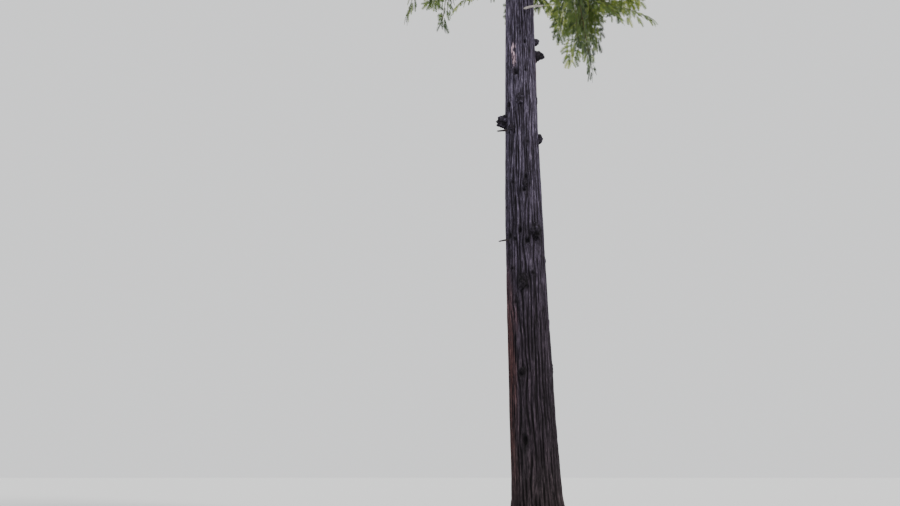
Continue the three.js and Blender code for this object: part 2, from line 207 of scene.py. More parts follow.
# %% Sockets that can be added and multiplied
class Signal:
    """One output socket. Its sums, differences and products are Math nodes."""

    def __init__(self, finish, socket):
        self.finish, self.socket = finish, socket

    def math(self, operation, first, second):
        return self.finish.node("ShaderNodeMath", {"operation": operation}, {0: first, 1: second})

    def __add__(self, other):
        return self.math("ADD", self, other)

    def __radd__(self, other):
        return self.math("ADD", other, self)

    def __sub__(self, other):
        return self.math("SUBTRACT", self, other)

    def __rsub__(self, other):
        return self.math("SUBTRACT", other, self)

    def __mul__(self, other):
        return self.math("MULTIPLY", self, other)

    def __rmul__(self, other):
        return self.math("MULTIPLY", other, self)


# %% A material and its nodes
BLACK, WHITE = (0.0, 0.0, 0.0, 1.0), (1.0, 1.0, 1.0, 1.0)
MIX_FACTOR, MIX_FIRST, MIX_SECOND, MIX_RESULT = 0, 6, 7, 2


class Finish:
    """A material with one Principled shader, and a method that adds a node of any kind. Its patterns lie
    in Object coordinates, or in a place that is kept at the mesh's corners."""

    def __init__(self, name, specular, kept_place=None):
        self.kept_place = kept_place
        self.material = bpy.data.materials.new(name)
        self.material.use_nodes = True
        self.tree = self.material.node_tree
        self.shader = self.tree.nodes["Principled BSDF"]
        self.shader.inputs["Specular IOR Level"].default_value = specular

    def node(self, kind, settings=None, feeds=None, output=0):
        made = self.tree.nodes.new(kind)
        settings = dict(settings or {})
        stops = settings.pop("stops", None)
        for title, value in settings.items():
            setattr(made, title, value)
        if stops:
            ramp = made.color_ramp
            while len(ramp.elements) < len(stops):
                ramp.elements.new(0.5)
            for element, (position, colour) in zip(ramp.elements, stops):
                element.position, element.color = position, colour
        for socket, value in (feeds or {}).items():
            self.feed(made.inputs[socket], value)
        return Signal(self, made.outputs[output])

    def feed(self, socket, value):
        if isinstance(value, Signal):
            self.tree.links.new(value.socket, socket)
        else:
            socket.default_value = value

    def mix(self, factor, first, second, blend="MIX"):
        settings = {"data_type": "RGBA", "blend_type": blend}
        feeds = {MIX_FACTOR: factor, MIX_FIRST: first, MIX_SECOND: second}
        return self.node("ShaderNodeMix", settings, feeds, output=MIX_RESULT)

    def noise(self, place, scale, detail=3.0, roughness=0.55):
        feeds = {"Vector": place, "Scale": scale, "Detail": detail, "Roughness": roughness}
        return self.node("ShaderNodeTexNoise", None, feeds, output="Fac")

    def ramp(self, factor, stops):
        return self.node("ShaderNodeValToRGB", {"stops": stops}, {"Fac": factor})

    def fade(self, value, low, high):
        """Nothing up to low, 1 past high and a straight line in between."""
        return self.ramp(value, [(low, BLACK), (high, WHITE)])

    def place(self, stretch=(1, 1, 1)):
        if self.kept_place:
            here = self.node("ShaderNodeAttribute", {"attribute_name": self.kept_place}, output="Vector")
        else:
            here = self.node("ShaderNodeTexCoord", output="Object")
        return self.node("ShaderNodeMapping", None, {"Vector": here, "Scale": stretch})

    def shade(self, title):
        return self.node("ShaderNodeAttribute", {"attribute_name": title}, output="Fac")

    def paint(self, colour, roughness, height=None, depth=0.0, strength=0.6):
        self.feed(self.shader.inputs["Base Color"], colour)
        self.feed(self.shader.inputs["Roughness"], roughness)
        if height is not None:
            feeds = {"Height": height, "Distance": depth, "Strength": strength}
            self.feed(self.shader.inputs["Normal"], self.node("ShaderNodeBump", None, feeds))
        return self.material


def colour(red, green, blue):
    """A colour as the eye reads it, 0 to 255 a channel, as the linear light that a shader works in: a
    straight line near black, and above it the share plus 0.055, over 1.055, to the power of 2.4."""
    share = np.array([red, green, blue]) / 255
    light = np.where(share <= 0.04045, share / 12.92, ((share + 0.055) / 1.055) ** 2.4)
    return (*light.tolist(), 1.0)


# %% [markdown]
# ## The trunk's own shape
# A redwood's trunk is one long cone that runs to the tip, a little swayed, with a flare of five low root
# lobes. A carved cylinder would do near the ground, but the boughs and every burl have to find the same
# surface, so the shape is a pair of functions of height and bearing, the same as in the solids.

# %% Trunk line and radius
TREE_HEIGHT = 40.0
BUTT_RADIUS, TIP_RADIUS = 0.49, 0.007
FLARE, FLARE_HEIGHT = 0.15, 0.36
ROOT_LOBES, LOBE_DEPTH, LOBE_HEIGHT, LOBE_TURN = 5, 0.075, 0.42, np.radians(25)
SWEEP_X, SWEEP_X_LENGTH = 0.075, 25.4
SWEEP_Y, SWEEP_Y_LENGTH = 0.06, 33.0


def trunk_centre(height):
    """The point of the trunk's centreline at a height: a slow sine across and a slower one away."""
    height = np.asarray(height, float)
    x = -SWEEP_X * np.sin(TURN * height / SWEEP_X_LENGTH)
    y = SWEEP_Y * np.sin(TURN * height / SWEEP_Y_LENGTH)
    return np.stack([x, y, height], axis=-1)


def trunk_radius(height, bearing=0.0):
    """A cone, plus a flare and a ring of lobes that both die away above the ground."""
    cone = lerp(BUTT_RADIUS, TIP_RADIUS, height / TREE_HEIGHT)
    flare = FLARE * np.exp(-height / FLARE_HEIGHT)
    lobes = LOBE_DEPTH * np.exp(-height / LOBE_HEIGHT) * np.cos(ROOT_LOBES * bearing + LOBE_TURN)
    return cone + flare + lobes


BREAST_HEIGHT = 1.3 * TREE_HEIGHT / 54
print("trunk radius at breast height", round(float(trunk_radius(BREAST_HEIGHT)), 3))

# %% [markdown]
# ## Knots and burls
# Old twig scars show as small dark knots, and burls are lumps that stand out where buds were buried. The
# bark's ridges part round both. Each row is a height up the trunk, a bearing in degrees, a width and a
# height, and a burl's row ends with how far it stands out. The side that shows is copied from the
# photograph, and the far side has more of the same kind, by chance.

# %% The knots and burls
# Knots are dark partly by painted shade in their pits. The first row is no knot but a painted shadow under
# the silver dead stub above it.
KNOTS = [
    (12.07, 12, 0.07, 0.08), (11.77, 7, 0.06, 0.09), (11.50, -4, 0.04, 0.05), (11.22, 13, 0.10, 0.20),
    (10.98, 31, 0.05, 0.07), (10.42, 13, 0.09, 0.11), (10.37, -22, 0.14, 0.19), (9.82, 19, 0.08, 0.14),
    (9.55, -52, 0.11, 0.17), (8.85, -54, 0.10, 0.10), (8.81, -31, 0.07, 0.09), (8.60, 62, 0.06, 0.07),
    (8.52, 12, 0.06, 0.08), (7.64, 5, 0.10, 0.11), (7.55, -43, 0.08, 0.10), (7.31, -3, 0.12, 0.13),
    (6.35, -18, 0.10, 0.17), (6.28, -54, 0.09, 0.20), (6.17, -36, 0.08, 0.10), (6.10, 1, 0.14, 0.18),
    (5.50, -48, 0.08, 0.09), (5.37, 12, 0.10, 0.11), (4.75, -43, 0.08, 0.09), (4.55, 40, 0.06, 0.07),
    (3.21, -31, 0.12, 0.13), (2.70, 22, 0.06, 0.07), (1.88, -27, 0.13, 0.30),
]
FAR_KNOTS, FAR_KNOT_LOWEST, FAR_KNOT_HIGHEST, FAR_KNOT_TURN = 26, 1.4, 12.6, 115
FAR_KNOT_SMALLEST, FAR_KNOT_WIDEST, FAR_KNOT_TALL = 0.045, 0.085, 1.25
BURLS = [
    (11.39, 84, 0.12, 0.19, 0.10), (11.02, 86, 0.20, 0.30, 0.20), (9.64, -10, 0.18, 0.28, 0.07),
    (9.20, -84, 0.20, 0.34, 0.20), (8.93, -45, 0.15, 0.19, 0.06), (8.74, 80, 0.13, 0.26, 0.09),
    (7.45, 1, 0.11, 0.15, 0.05), (6.32, 29, 0.23, 0.36, 0.12), (5.17, -15, 0.20, 0.38, 0.08),
    (3.27, -24, 0.11, 0.15, 0.05),
]
FAR_BURLS, FAR_BURL_LOWEST, FAR_BURL_HIGHEST = 4, 2.6, 11.8
FAR_BURL_SIZE, FAR_BURL_TURN, FAR_BURL_OUT = 0.13, 70, 0.6
BURL_SUNK = 0.2
FOR_FAR_BURL_SIZE, FOR_FAR_BURL_BEARING, FOR_FAR_KNOT = 61, 62, 70

number = np.arange(FAR_BURLS)
far_size = FAR_BURL_SIZE * lerp(0.7, 1.3, chance(number, FOR_FAR_BURL_SIZE))
far_height = lerp(FAR_BURL_LOWEST, FAR_BURL_HIGHEST, (number + 0.5) / FAR_BURLS)
far_bearing = 180 + spread(FAR_BURL_TURN, number, FOR_FAR_BURL_BEARING)
far_burls = np.stack([far_height, far_bearing, far_size, far_size, far_size * FAR_BURL_OUT], axis=-1)
burls = np.concatenate([np.array(BURLS), far_burls])

number = np.arange(FAR_KNOTS)
knot_up = (number + chance(number, FOR_FAR_KNOT)) / FAR_KNOTS
knot_height = lerp(FAR_KNOT_LOWEST, FAR_KNOT_HIGHEST, knot_up)
knot_bearing = 180 + spread(FAR_KNOT_TURN, number, FOR_FAR_KNOT + 1)
knot_size = lerp(FAR_KNOT_SMALLEST, FAR_KNOT_WIDEST, chance(number, FOR_FAR_KNOT + 2))
far_knots = np.stack([knot_height, knot_bearing, knot_size, knot_size * FAR_KNOT_TALL], axis=-1)
knots = np.concatenate([np.array(KNOTS), far_knots])
print("knots", len(knots), "burls", len(burls))

# %% [markdown]
# ## Furrowed bark
# Redwood bark is a thick felt of fibres that splits as the tree grows into long ridges. They run nearly
# straight up the trunk, join and part again, with dark furrows between. A bump map alone would leave the
# trunk's outline smooth, so the relief is real. A furrow runs up between each two ridges: a bell across
# it, swaying slowly with height and closing for a stretch here and there. A second set, finer and
# shorter, gives the fibres. Near the ground the ridges wind and break over lumps, as an old foot does.

# %% Ridges between long furrows
FURROW_WIDTH, FURROW_LEAST_OPEN = 0.25, 0.15
QUICK_SWAY, QUICK_SPEED, CLOSING_SPEED = 0.3, 3.1, 2.3


def line_noise(along, column, key):
    """Each whole number along a column has a chance, and smoothstep blends the two on either side. A
    chance start for each column keeps neighbours out of step."""
    along = along + 9 * chance(column, key, 3)
    step = np.floor(along)
    return lerp(chance(step, column, key), chance(step + 1, column, key), smoothstep(along - step, 0, 1))


def bell(value, middle, half):
    """A smooth bell: 1 at the middle, about a third at half a width, and nearly nothing past a whole."""
    return np.exp(-(((value - middle) / half) ** 2))


def ridge_height(across, along, columns, sway, key):
    """One less the deepest furrow near a point. Furrow number n lies at n plus a sway that changes with
    height; its depth is a bell of the distance across, times how far open it is there. Numbers wrap round
    the trunk."""
    lowest = np.ones(across.shape)
    for aside in (-1, 0, 1, 2):
        column = np.floor(across) + aside
        wrapped = np.mod(column, columns)
        slow = line_noise(along, wrapped, key)
        quick = line_noise(along * QUICK_SPEED, wrapped, key + 1)
        closing = line_noise(along * CLOSING_SPEED, wrapped, key + 2)
        line = column + sway * centred(slow) + QUICK_SWAY * sway * centred(quick)
        how_open = lerp(FURROW_LEAST_OPEN, 1, smoothstep(closing, 0.12, 0.55))
        lowest = np.minimum(lowest, 1 - how_open * bell(across, line, FURROW_WIDTH))
    return lowest


def band(value, middle, half):
    """A bell with a flat top: 1 at the middle and nearly nothing past half a width either side."""
    return np.exp(-(((value - middle) / half) ** 4))


def wrapped_turn(angle):
    """An angle brought to between minus half a turn and half a turn."""
    return np.mod(angle + np.pi, TURN) - np.pi


# %% Knots among the ridges
RIM_OUT, RIM_WIDE, RIM_HIGH = 1.15, 0.5, 0.26
PIT_WIDE, PIT_DEEP = 0.7, 0.5
PUSH, PUSH_WIDE, PUSH_TALL = 0.42, 1.1, 1.9
STAIN, STAIN_TALL = 0.5, 1.5
KNOT_EDGE, BURL_SHADOW, BURL_SHADOW_WIDE = 1.05, 0.7, 1.3


def part_round_knots(height, bearing, turn, ragged):
    """The share of a turn that ridges are counted by, pushed aside by a bell round each knot and burl; the
    knots' relief, a rim less a pit, both bells of how many half widths out a point is; and how dark a point
    is from knots, which stain the bark above and below too, with painted shade in their pits and a painted
    shadow round each burl."""
    radius = trunk_radius(height, bearing)
    relief, knot = np.zeros_like(height), np.zeros_like(height)
    for row, (middle, degrees, wide, tall) in enumerate([*knots, *burls[:, :4]]):
        aside = wrapped_turn(bearing - np.radians(degrees)) * radius
        above = height - middle
        near = np.exp(-((aside / (PUSH_WIDE * wide)) ** 2) - (above / (PUSH_TALL * tall)) ** 2)
        turn = turn - PUSH * aside * near / (TURN * radius)
        out = np.hypot(2 * aside / wide, 2 * above / tall) * ragged
        if row < len(knots):
            relief += wide * (RIM_HIGH * bell(out, RIM_OUT, RIM_WIDE) - PIT_DEEP * bell(out, 0, PIT_WIDE))
            stain = STAIN * np.exp(-((2 * aside / wide) ** 2) - (above / (STAIN_TALL * tall)) ** 2)
            knot = np.maximum(knot, np.maximum(stain, band(out, 0, KNOT_EDGE)))
        else:
            knot = np.maximum(knot, BURL_SHADOW * bell(out, 0, BURL_SHADOW_WIDE))
    return turn, relief, knot


# %% The bark's relief
RIDGES_ROUND, RIDGE_LENGTH, RIDGE_SWAY, RIDGE_DEPTH, RIDGE_KEY = 39, 1.0, 0.34, 0.033, 11
FIBRES_ROUND, FIBRE_LENGTH, FIBRE_SWAY, FIBRE_DEPTH, FIBRE_KEY = 91, 0.36, 0.45, 0.013, 21
RIDGE_ZERO, FIBRE_ZERO, FIBRE_LEAST, RIDGE_SHARE = 0.62, 0.6, 0.4, 0.65
WANDER, SWELLING, THINNING = 0.56, 0.016, 0.8
FOOT_REACH, FOOT_WANDER, FOOT_BREAKS, FOOT_LUMPS, FOOT_THIN = 0.5, 1.5, 1.4, 0.07, 0.15

# Noise is read on a circle round the trunk, whose radius is in cells, and up it in cells of a height in
# metres. Then comes how much finer the other noises are, round the trunk and up it, and the noises' keys.
CIRCLE_RADIUS, CELL_HEIGHT = 1.6, 1.9
GNARLS_FINER, LUMPS_FINER = [2.1, 2.1, 7.0], [1.7, 1.7, 4.6]
SWELLING_FINER, RAGGED_FINER = [1.2, 1.2, 1.6], [9.0, 9.0, 14.0]
FOR_WANDER, FOR_SWELLING, FOR_RAGGED, FOR_GNARLS, FOR_LUMPS = 5, 40, 45, 55, 58


def bark(height, bearing):
    """Relief in metres, how far up a ridge a point is, and how dark it is from knots and from the painted
    shade in and round them and the burls. Ridges wander by noise and part round knots; fibres stand out most
    along their crests; and near the ground the ridges wind more, break more often and ride over lumps."""
    radius = trunk_radius(height, bearing)
    round_trunk = [np.cos(bearing) * CIRCLE_RADIUS, np.sin(bearing) * CIRCLE_RADIUS]
    place = np.stack([*round_trunk, height / CELL_HEIGHT], axis=-1)
    foot = bell(height, 0, FOOT_REACH)
    wander = centred(rough_noise(place, 3, FOR_WANDER))
    gnarls = centred(rough_noise(place * GNARLS_FINER, 3, FOR_GNARLS))
    swelling = centred(rough_noise(place * SWELLING_FINER, 3, FOR_SWELLING))
    lumps = centred(rough_noise(place * LUMPS_FINER, 3, FOR_LUMPS))
    ragged = 0.6 + 0.9 * rough_noise(place * RAGGED_FINER, 2, FOR_RAGGED)

    turn = bearing / TURN + WANDER / RIDGES_ROUND * wander + foot * FOOT_WANDER / RIDGES_ROUND * gnarls
    turn, relief, knot = part_round_knots(height, bearing, turn, ragged)
    along = height / RIDGE_LENGTH - FOOT_BREAKS * foot
    crest = ridge_height(turn * RIDGES_ROUND, along, RIDGES_ROUND, RIDGE_SWAY, RIDGE_KEY)
    fibre = ridge_height(turn * FIBRES_ROUND, height / FIBRE_LENGTH, FIBRES_ROUND, FIBRE_SWAY, FIBRE_KEY)

    thick = (radius / BUTT_RADIUS) ** THINNING * lerp(0.5, 1, smoothstep(height, 0, FOOT_THIN))
    ridges = RIDGE_DEPTH * (crest - RIDGE_ZERO)
    fibres = FIBRE_DEPTH * (fibre - FIBRE_ZERO) * (FIBRE_LEAST + crest)
    relief = relief + thick * (ridges + fibres) + thick * SWELLING * swelling + foot * FOOT_LUMPS * lumps
    return relief, np.clip(RIDGE_SHARE * crest + (1 - RIDGE_SHARE) * fibre, 0, 1), knot


# %% Flanks of another colour, and a painted sun fleck
LEFT_BEARING, LEFT_HALF, LEFT_MIDDLE, LEFT_REACH = np.radians(-74), np.radians(26), 3.3, 2.1
RIGHT_BEARING, RIGHT_HALF, RIGHT_MIDDLE, RIGHT_REACH = np.radians(84), np.radians(9), 10.4, 1.3
# The painted sun fleck: a light pinkish strip of sunlight high on the left of the trunk.
STRIP_BEARING, STRIP_HALF, STRIP_MIDDLE, STRIP_REACH = np.radians(-32), 0.095, 10.9, 0.55
STRIP_SWAY, STRIP_WAVES = 0.02, 9
PATCH_STRENGTH, PATCH_FINENESS, PATCH_HEIGHT = 0.7, 1.3, 2.5
FOR_PATCHES, FOR_RAGGED_EDGE = 50, 52


def tints(height, bearing):
    """Where the bark shows fresh red fibre, up the left flank, along the right edge and in patches behind,
    and where a painted sun fleck lies as a light strip. Each is a flat-topped band round the trunk times one
    up it, and the patches are slow noise."""
    edge_place = np.stack([bearing * 3, height * 0.9, 0 * height], axis=-1)
    ragged = 0.3 * centred(rough_noise(edge_place, 3, FOR_RAGGED_EDGE))
    left = band(wrapped_turn(bearing - LEFT_BEARING) + ragged, 0, LEFT_HALF)
    left = left * band(height, LEFT_MIDDLE, LEFT_REACH)
    right = band(wrapped_turn(bearing - RIGHT_BEARING), 0, RIGHT_HALF)
    right = right * band(height, RIGHT_MIDDLE, RIGHT_REACH)
    patch_place = np.stack([np.cos(bearing), np.sin(bearing), height / PATCH_HEIGHT], axis=-1)
    patches = smoothstep(rough_noise(patch_place * PATCH_FINENESS, 2, FOR_PATCHES), 0.52, 0.7)
    behind = PATCH_STRENGTH * patches * smoothstep(np.abs(wrapped_turn(bearing)), 1.5, 2.1)
    # The painted sun fleck, a wavy strip where sunlight falls.
    aside = wrapped_turn(bearing - STRIP_BEARING) * trunk_radius(height, bearing)
    pale = band(aside, STRIP_SWAY * np.sin(height * STRIP_WAVES), STRIP_HALF)
    pale = pale * band(height, STRIP_MIDDLE, STRIP_REACH)
    return np.maximum(np.maximum(left, right), behind), pale


# %% [markdown]
# ## The trunk in two lengths
# One mesh fine enough for the bark would be too large to handle, so the trunk is made in two lengths that
# overlap at 13 m. The lower one, which the photograph shows, has the finer rings.

# %% The trunk's surface
JOINT, JOINT_REACH, JOINT_DEPTH = 13.0, 0.3, 0.02
LOWER_ROWS, LOWER_SIDES, UPPER_ROWS, UPPER_SIDES = 296, 336, 400, 236


def aloft(height):
    """The height as a share of the whole tree's."""
    return np.clip(height / TREE_HEIGHT, 0, 1)


def trunk_surface(heights, sides, past_joint):
    """Rings round the trunk's centreline: the radius at each height and bearing, plus the bark's relief,
    less a little past the joint. Each length dives under the other there, so that no edge shows."""
    height, bearing = np.meshgrid(heights, TURN * np.arange(sides) / sides, indexing="ij")
    relief, crest, knot = bark(height, bearing)
    dive = JOINT_DEPTH * smoothstep(past_joint * (height - JOINT), -JOINT_REACH / 3, JOINT_REACH)
    radius = trunk_radius(height, bearing) + relief - dive
    rings = trunk_centre(height) + towards(bearing) * radius[..., None]
    foot, tip = trunk_centre(heights[0]), trunk_centre(heights[-1])
    corners = tube_corners(rings[None], foot[None], tip[None])
    fresh, pale = tints(height, bearing)
    shades = {"crest": crest, "knot": knot, "fresh": fresh, "pale": pale, "aloft": aloft(height)}
    shades = {title: np.append(values, [0, 0]) for title, values in shades.items()}
    return corners, tube_faces(1, len(heights), sides), shades


lower_heights = np.linspace(0, JOINT + JOINT_REACH, LOWER_ROWS)
upper_heights = np.linspace(JOINT - JOINT_REACH, TREE_HEIGHT, UPPER_ROWS)
lower = trunk_surface(lower_heights, LOWER_SIDES, past_joint=1)
upper = trunk_surface(upper_heights, UPPER_SIDES, past_joint=-1)
print("relief rows", len(lower_heights), len(upper_heights))

# %% [markdown]
# ## Bark's colours
# In the shade of the grove the bark reads as grey with violet in it. Crests are paler and furrows nearly
# black, partly the bark's weathering and partly painted shade in the furrows, and here and there a flank
# shows the red-brown of fresh fibre. Near the ground it is painted darker and browner, and higher up
# paler and bluer: painted shade and light by height. A light pinkish strip high on the left is a painted
# sun fleck. The height up a ridge is kept at the mesh's corners, so the colour and its painted shade
# follow the real relief. Noises stretched along the trunk add its strands, hairs and threads, and thin
# dark splits run where one more noise crosses its middle value.

# %% Bark colours
# From furrow to crest: the dark end is partly the bark's own colour and partly painted shade in the furrows.
BARK_COLOURS = [
    (0.0, colour(15, 12, 15)),
    (0.34, colour(38, 33, 39)),
    (0.62, colour(72, 66, 76)),
    (1.0, colour(134, 126, 135)),
]
FLANK_COLOURS = [
    (0.0, colour(34, 21, 20)),
    (0.35, colour(84, 52, 46)),
    (0.65, colour(122, 84, 74)),
    (1.0, colour(178, 140, 126)),
]
# Nearly black for knots and for the painted shade on and round the burls; the pinkish pair colours the
# painted sun fleck.
KNOT_AND_SHADE_BLACK, SUN_FLECK_DARK, SUN_FLECK_LIGHT = colour(15, 12, 15), colour(120, 94, 92), colour(196, 172, 172)

# What the bark's colour is multiplied by, at shares of the tree's height: painted shade near the ground,
# darker and browner, and painted light higher up, paler and bluer.
SHADE_TO_LIGHT_BY_HEIGHT = [
    (0.015, (0.56, 0.47, 0.41, 1)),
    (0.055, (0.58, 0.48, 0.53, 1)),
    (0.1, (0.66, 0.56, 0.64, 1)),
    (0.14, (0.94, 0.86, 1.03, 1)),
    (0.19, (1.14, 1.09, 1.32, 1)),
    (0.29, (2.1, 2.08, 2.45, 1)),
    (0.45, (1.75, 1.6, 1.56, 1)),
]
SPLIT_SHARPNESS, SPLIT_DARKNESS = 27.0, (0.4, 0.4, 0.4, 1.0)
BARK_BUMP, BARK_BUMP_STRENGTH = 0.018, 0.9
print("tints from", SHADE_TO_LIGHT_BY_HEIGHT[0][0] * TREE_HEIGHT, "m to", SHADE_TO_LIGHT_BY_HEIGHT[-1][0] * TREE_HEIGHT, "m")


# %% Bark finish
def bark_finish(name, colours, flank, fibre_scale, kept_place=None):
    """Noise stretched along the trunk, added to the height up a ridge, picks the colour, so the furrows are
    darker, partly by painted shade. Fresh flanks are mixed in by their own shade, a painted sun fleck where
    that and the fibres agree, and knots go nearly black, with the painted shade on and round the burls. A
    split is dark where a noise less its middle, times its sharpness and squared, is small. Last comes the
    painted shade and light by height."""
    finish = Finish(name, specular=0.25, kept_place=kept_place)

    def drawn_out(stretch, fineness, detail, roughness):
        return finish.noise(finish.place((1, 1, stretch)), fibre_scale * fineness, detail, roughness)

    hairs = drawn_out(0.05, 1.0, 5.0, 0.65) * 1.8 - 0.4
    strands = drawn_out(0.07, 0.36, 3.0, 0.65)
    flakes = drawn_out(0.3, 0.5, 4.0, 0.6)
    threads = drawn_out(0.035, 3.2, 3.0, 0.6) * 2.6 - 0.8
    split = (drawn_out(0.055, 0.8, 4.0, 0.6) - 0.5) * SPLIT_SHARPNESS
    blotches = finish.noise(finish.place((1, 1, 0.25)), 2.6, 3.0)
    crest = finish.shade("crest")

    # Darker down the furrows, partly painted shade.
    level = crest * 0.64 + hairs * 0.42 + strands * 0.85 + flakes * 0.5 + threads * 0.24
    body = finish.ramp(level + blotches * 0.15 - 1.09, colours)
    warm = finish.shade("fresh") * finish.fade(strands * 0.7 + crest * 0.3, 0.46, 0.64)
    fibrous = crest * 0.5 + hairs * 0.5 + threads * 0.35 - 0.25
    body = finish.mix(warm * 0.75, body, finish.ramp(fibrous, flank))
    # A painted sun fleck: pinkish light where sunlight falls on the strip.
    bare = finish.fade(finish.shade("pale") * 0.4 + strands * 0.4 + flakes * 0.55 + crest * 0.1, 0.9, 0.98)
    body = finish.mix(bare * 0.85, body, finish.mix(hairs, SUN_FLECK_DARK, SUN_FLECK_LIGHT))
    # Knots go nearly black, and with them the painted shade in their pits, the painted shadow under the
    # silver stub and the painted shade on and round the burls.
    body = finish.mix(finish.shade("knot") * (0.7 + flakes * 0.4), body, KNOT_AND_SHADE_BLACK)
    whole = finish.ramp(split * split, [(0.0, SPLIT_DARKNESS), (1.0, WHITE)])
    body = finish.mix(1.0, body, whole, "MULTIPLY")
    # Painted shade and light by height: darker and browner near the ground, paler and bluer higher up.
    body = finish.mix(1.0, body, finish.ramp(finish.shade("aloft"), SHADE_TO_LIGHT_BY_HEIGHT), "MULTIPLY")

    fibres = hairs * 0.7 + strands * 0.6 + flakes * 0.6 + threads * 0.28 + whole * 0.3
    return finish.paint(body, 0.8 + hairs * 0.18, fibres, BARK_BUMP, BARK_BUMP_STRENGTH)


trunk_finish = bark_finish("furrowed_bark", BARK_COLOURS, FLANK_COLOURS, fibre_scale=62.0)

# %% The trunk's pieces
lower_trunk = add_piece("trunk_lower", *lower[:2], [trunk_finish], lower[2])
upper_trunk = add_piece("trunk_upper", *upper[:2], [trunk_finish], upper[2])
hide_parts("trunk")

# %% [markdown]
# ## Burls
# A burl is a knob of tangled grain. Sculpting would do, but a lumpy ball is enough: a ball's direction at
# two angles, its radius swollen by noise, flattened against the trunk and sunk into it. A deeper noise
# gives the knob its cracks, and painted shade darkens the knob, most of all in the cracks.

# %% The burls' surface
BURL_ROWS, BURL_SIDES, BURL_APART, BURL_STRETCH = 44, 60, 7.3, 1.12
BURL_CORE, BURL_LUMPS, BURL_CRACKS = 0.72, 0.66, 0.24
LUMP_FINENESS, CRACK_FINENESS, FOR_BURL_LUMPS, FOR_BURL_CRACKS = 2.3, [4.5, 4.5, 2.6], 60, 66


def burl_surface(rows, sides):
    """Directions over a ball, times a core plus lumps less cracks, scaled to half the width, how far it
    stands out and half the height, turned to the burl's bearing and set on the bark. A crack is where a
    noise crosses its middle value."""
    polar, around = np.meshgrid(np.pi * (np.arange(rows) + 0.5) / rows, TURN * np.arange(sides) / sides,
                                indexing="ij")
    ball = towards(around) * np.sin(polar)[..., None] - UP * np.cos(polar)[..., None]
    height, degrees, wide, tall, out = (column[:, None, None] for column in burls.T)
    turn = np.radians(degrees)
    from_axis = trunk_radius(height, turn) - out * BURL_SUNK
    centre = trunk_centre(height) + towards(turn) * from_axis[..., None]
    half_size = np.stack([wide / 2, out * (1 + BURL_SUNK), tall / 2], axis=-1)
    shift = np.arange(len(burls))[:, None, None, None] * BURL_APART
    made = []
    for directions in (ball, -UP[None, None], UP[None, None]):
        lumps = rough_noise(directions[None] * LUMP_FINENESS + shift, 3, FOR_BURL_LUMPS)
        crossing = centred(rough_noise(directions[None] * CRACK_FINENESS + shift, 2, FOR_BURL_CRACKS))
        cracks = np.abs(crossing)
        swelling = BURL_CORE + BURL_LUMPS * lumps - BURL_CRACKS * (1 - cracks) ** 3
        scaled = directions[None] * swelling[..., None] * half_size * BURL_STRETCH
        x = scaled[..., 0] * np.cos(turn) - scaled[..., 1] * np.sin(turn)
        y = scaled[..., 0] * np.sin(turn) + scaled[..., 1] * np.cos(turn)
        made.append((np.stack([x, y, scaled[..., 2]], axis=-1) + centre, lumps * 0.7 + cracks * 0.5))
    (rings, shade), (feet, foot_shade), (tips, tip_shade) = made
    corners = tube_corners(rings, feet[:, 0, 0], tips[:, 0, 0])
    count = len(burls)
    crest = np.concatenate([shade.reshape(count, -1), foot_shade[:, 0], tip_shade[:, 0]], axis=1)
    return corners, tube_faces(count, rows, sides), crest.ravel()


burl_corners, burl_faces, burl_crest = burl_surface(BURL_ROWS, BURL_SIDES)
# The burls' darkness is painted shade: over the whole knob, and most of all in its cracks.
burl_shades = {
    "crest": burl_crest,
    "knot": np.clip(1.4 - 1.9 * burl_crest, 0.1, 0.9),
    "aloft": np.repeat(aloft(burls[:, 0]), len(burl_crest) // len(burls)),
}
burl_piece = add_piece("burls", burl_corners, burl_faces, [trunk_finish], burl_shades)

# %% [markdown]
# ## Dead limbs
# Under the crown a redwood keeps stubs of limbs that died in the shade. They are bare, silver or nearly
# black, and snapped off short. Each is a profile carried along its line: rings that taper, roughened by
# noise, with the last ring drawn out into splinters and its middle sunk, as broken wood is. A row gives a
# stub's height, the bearing of its root, the bearing that it points to, its rise in degrees, its length
# and its radius.

# %% A profile along a curve
STUBS = np.array([
    (12.17, 9, 75, 7, 0.43, 0.027),
    (8.90, -56, -88, 3, 0.24, 0.024),
    (6.20, -60, -90, -1, 0.21, 0.021),
    (10.23, 165, 160, -8, 0.38, 0.020),
])
CURVE_STEP = 0.01


def frame_on(point_at, t):
    """A curve's direction, from points a little either side, the level one across it, and their normal."""
    tangent = unit(point_at(t + CURVE_STEP) - point_at(t - CURVE_STEP))
    across = unit(np.cross(tangent, UP))
    return tangent, across, np.cross(across, tangent)


def rings_on(point_at, t, radius, sides):
    """Rings square to a curve at stations t: a corner is normal times cosine plus across times sine."""
    tangent, across, normal = frame_on(point_at, t)
    angle = TURN * np.arange(sides) / sides
    spoke = normal[..., None, :] * np.cos(angle)[:, None] + across[..., None, :] * np.sin(angle)[:, None]
    return point_at(t)[..., None, :] + spoke * radius[..., None], tangent


print("stubs", len(STUBS), "the longest", STUBS[:, 4].max(), "m")

# %% The stubs' surface
STUB_ROWS, STUB_SIDES, STUB_ROOT_DEPTH, STUB_SAG, STUB_TAPER, STUB_BEND = 30, 28, 0.2, 0.03, 0.68, 0.07
STUB_COLLAR, COLLAR_FADE, STUB_FACETS, STUB_DENTS = 0.4, 0.08, 0.16, 0.08
SPLINTERS, SPLINTERS_BEFORE, SUNK_TO = 0.16, 0.4, 0.96
CHECKS_ROUND, CHECKS_ALONG, CHECKS_APART, END_CHECKS = 3.2, 1.6, 9, 0.3
BEND_PEAK = 27 / 4
FOR_FACETS, FOR_SPLINTERS, FOR_CHECKS = 81, 83, 98


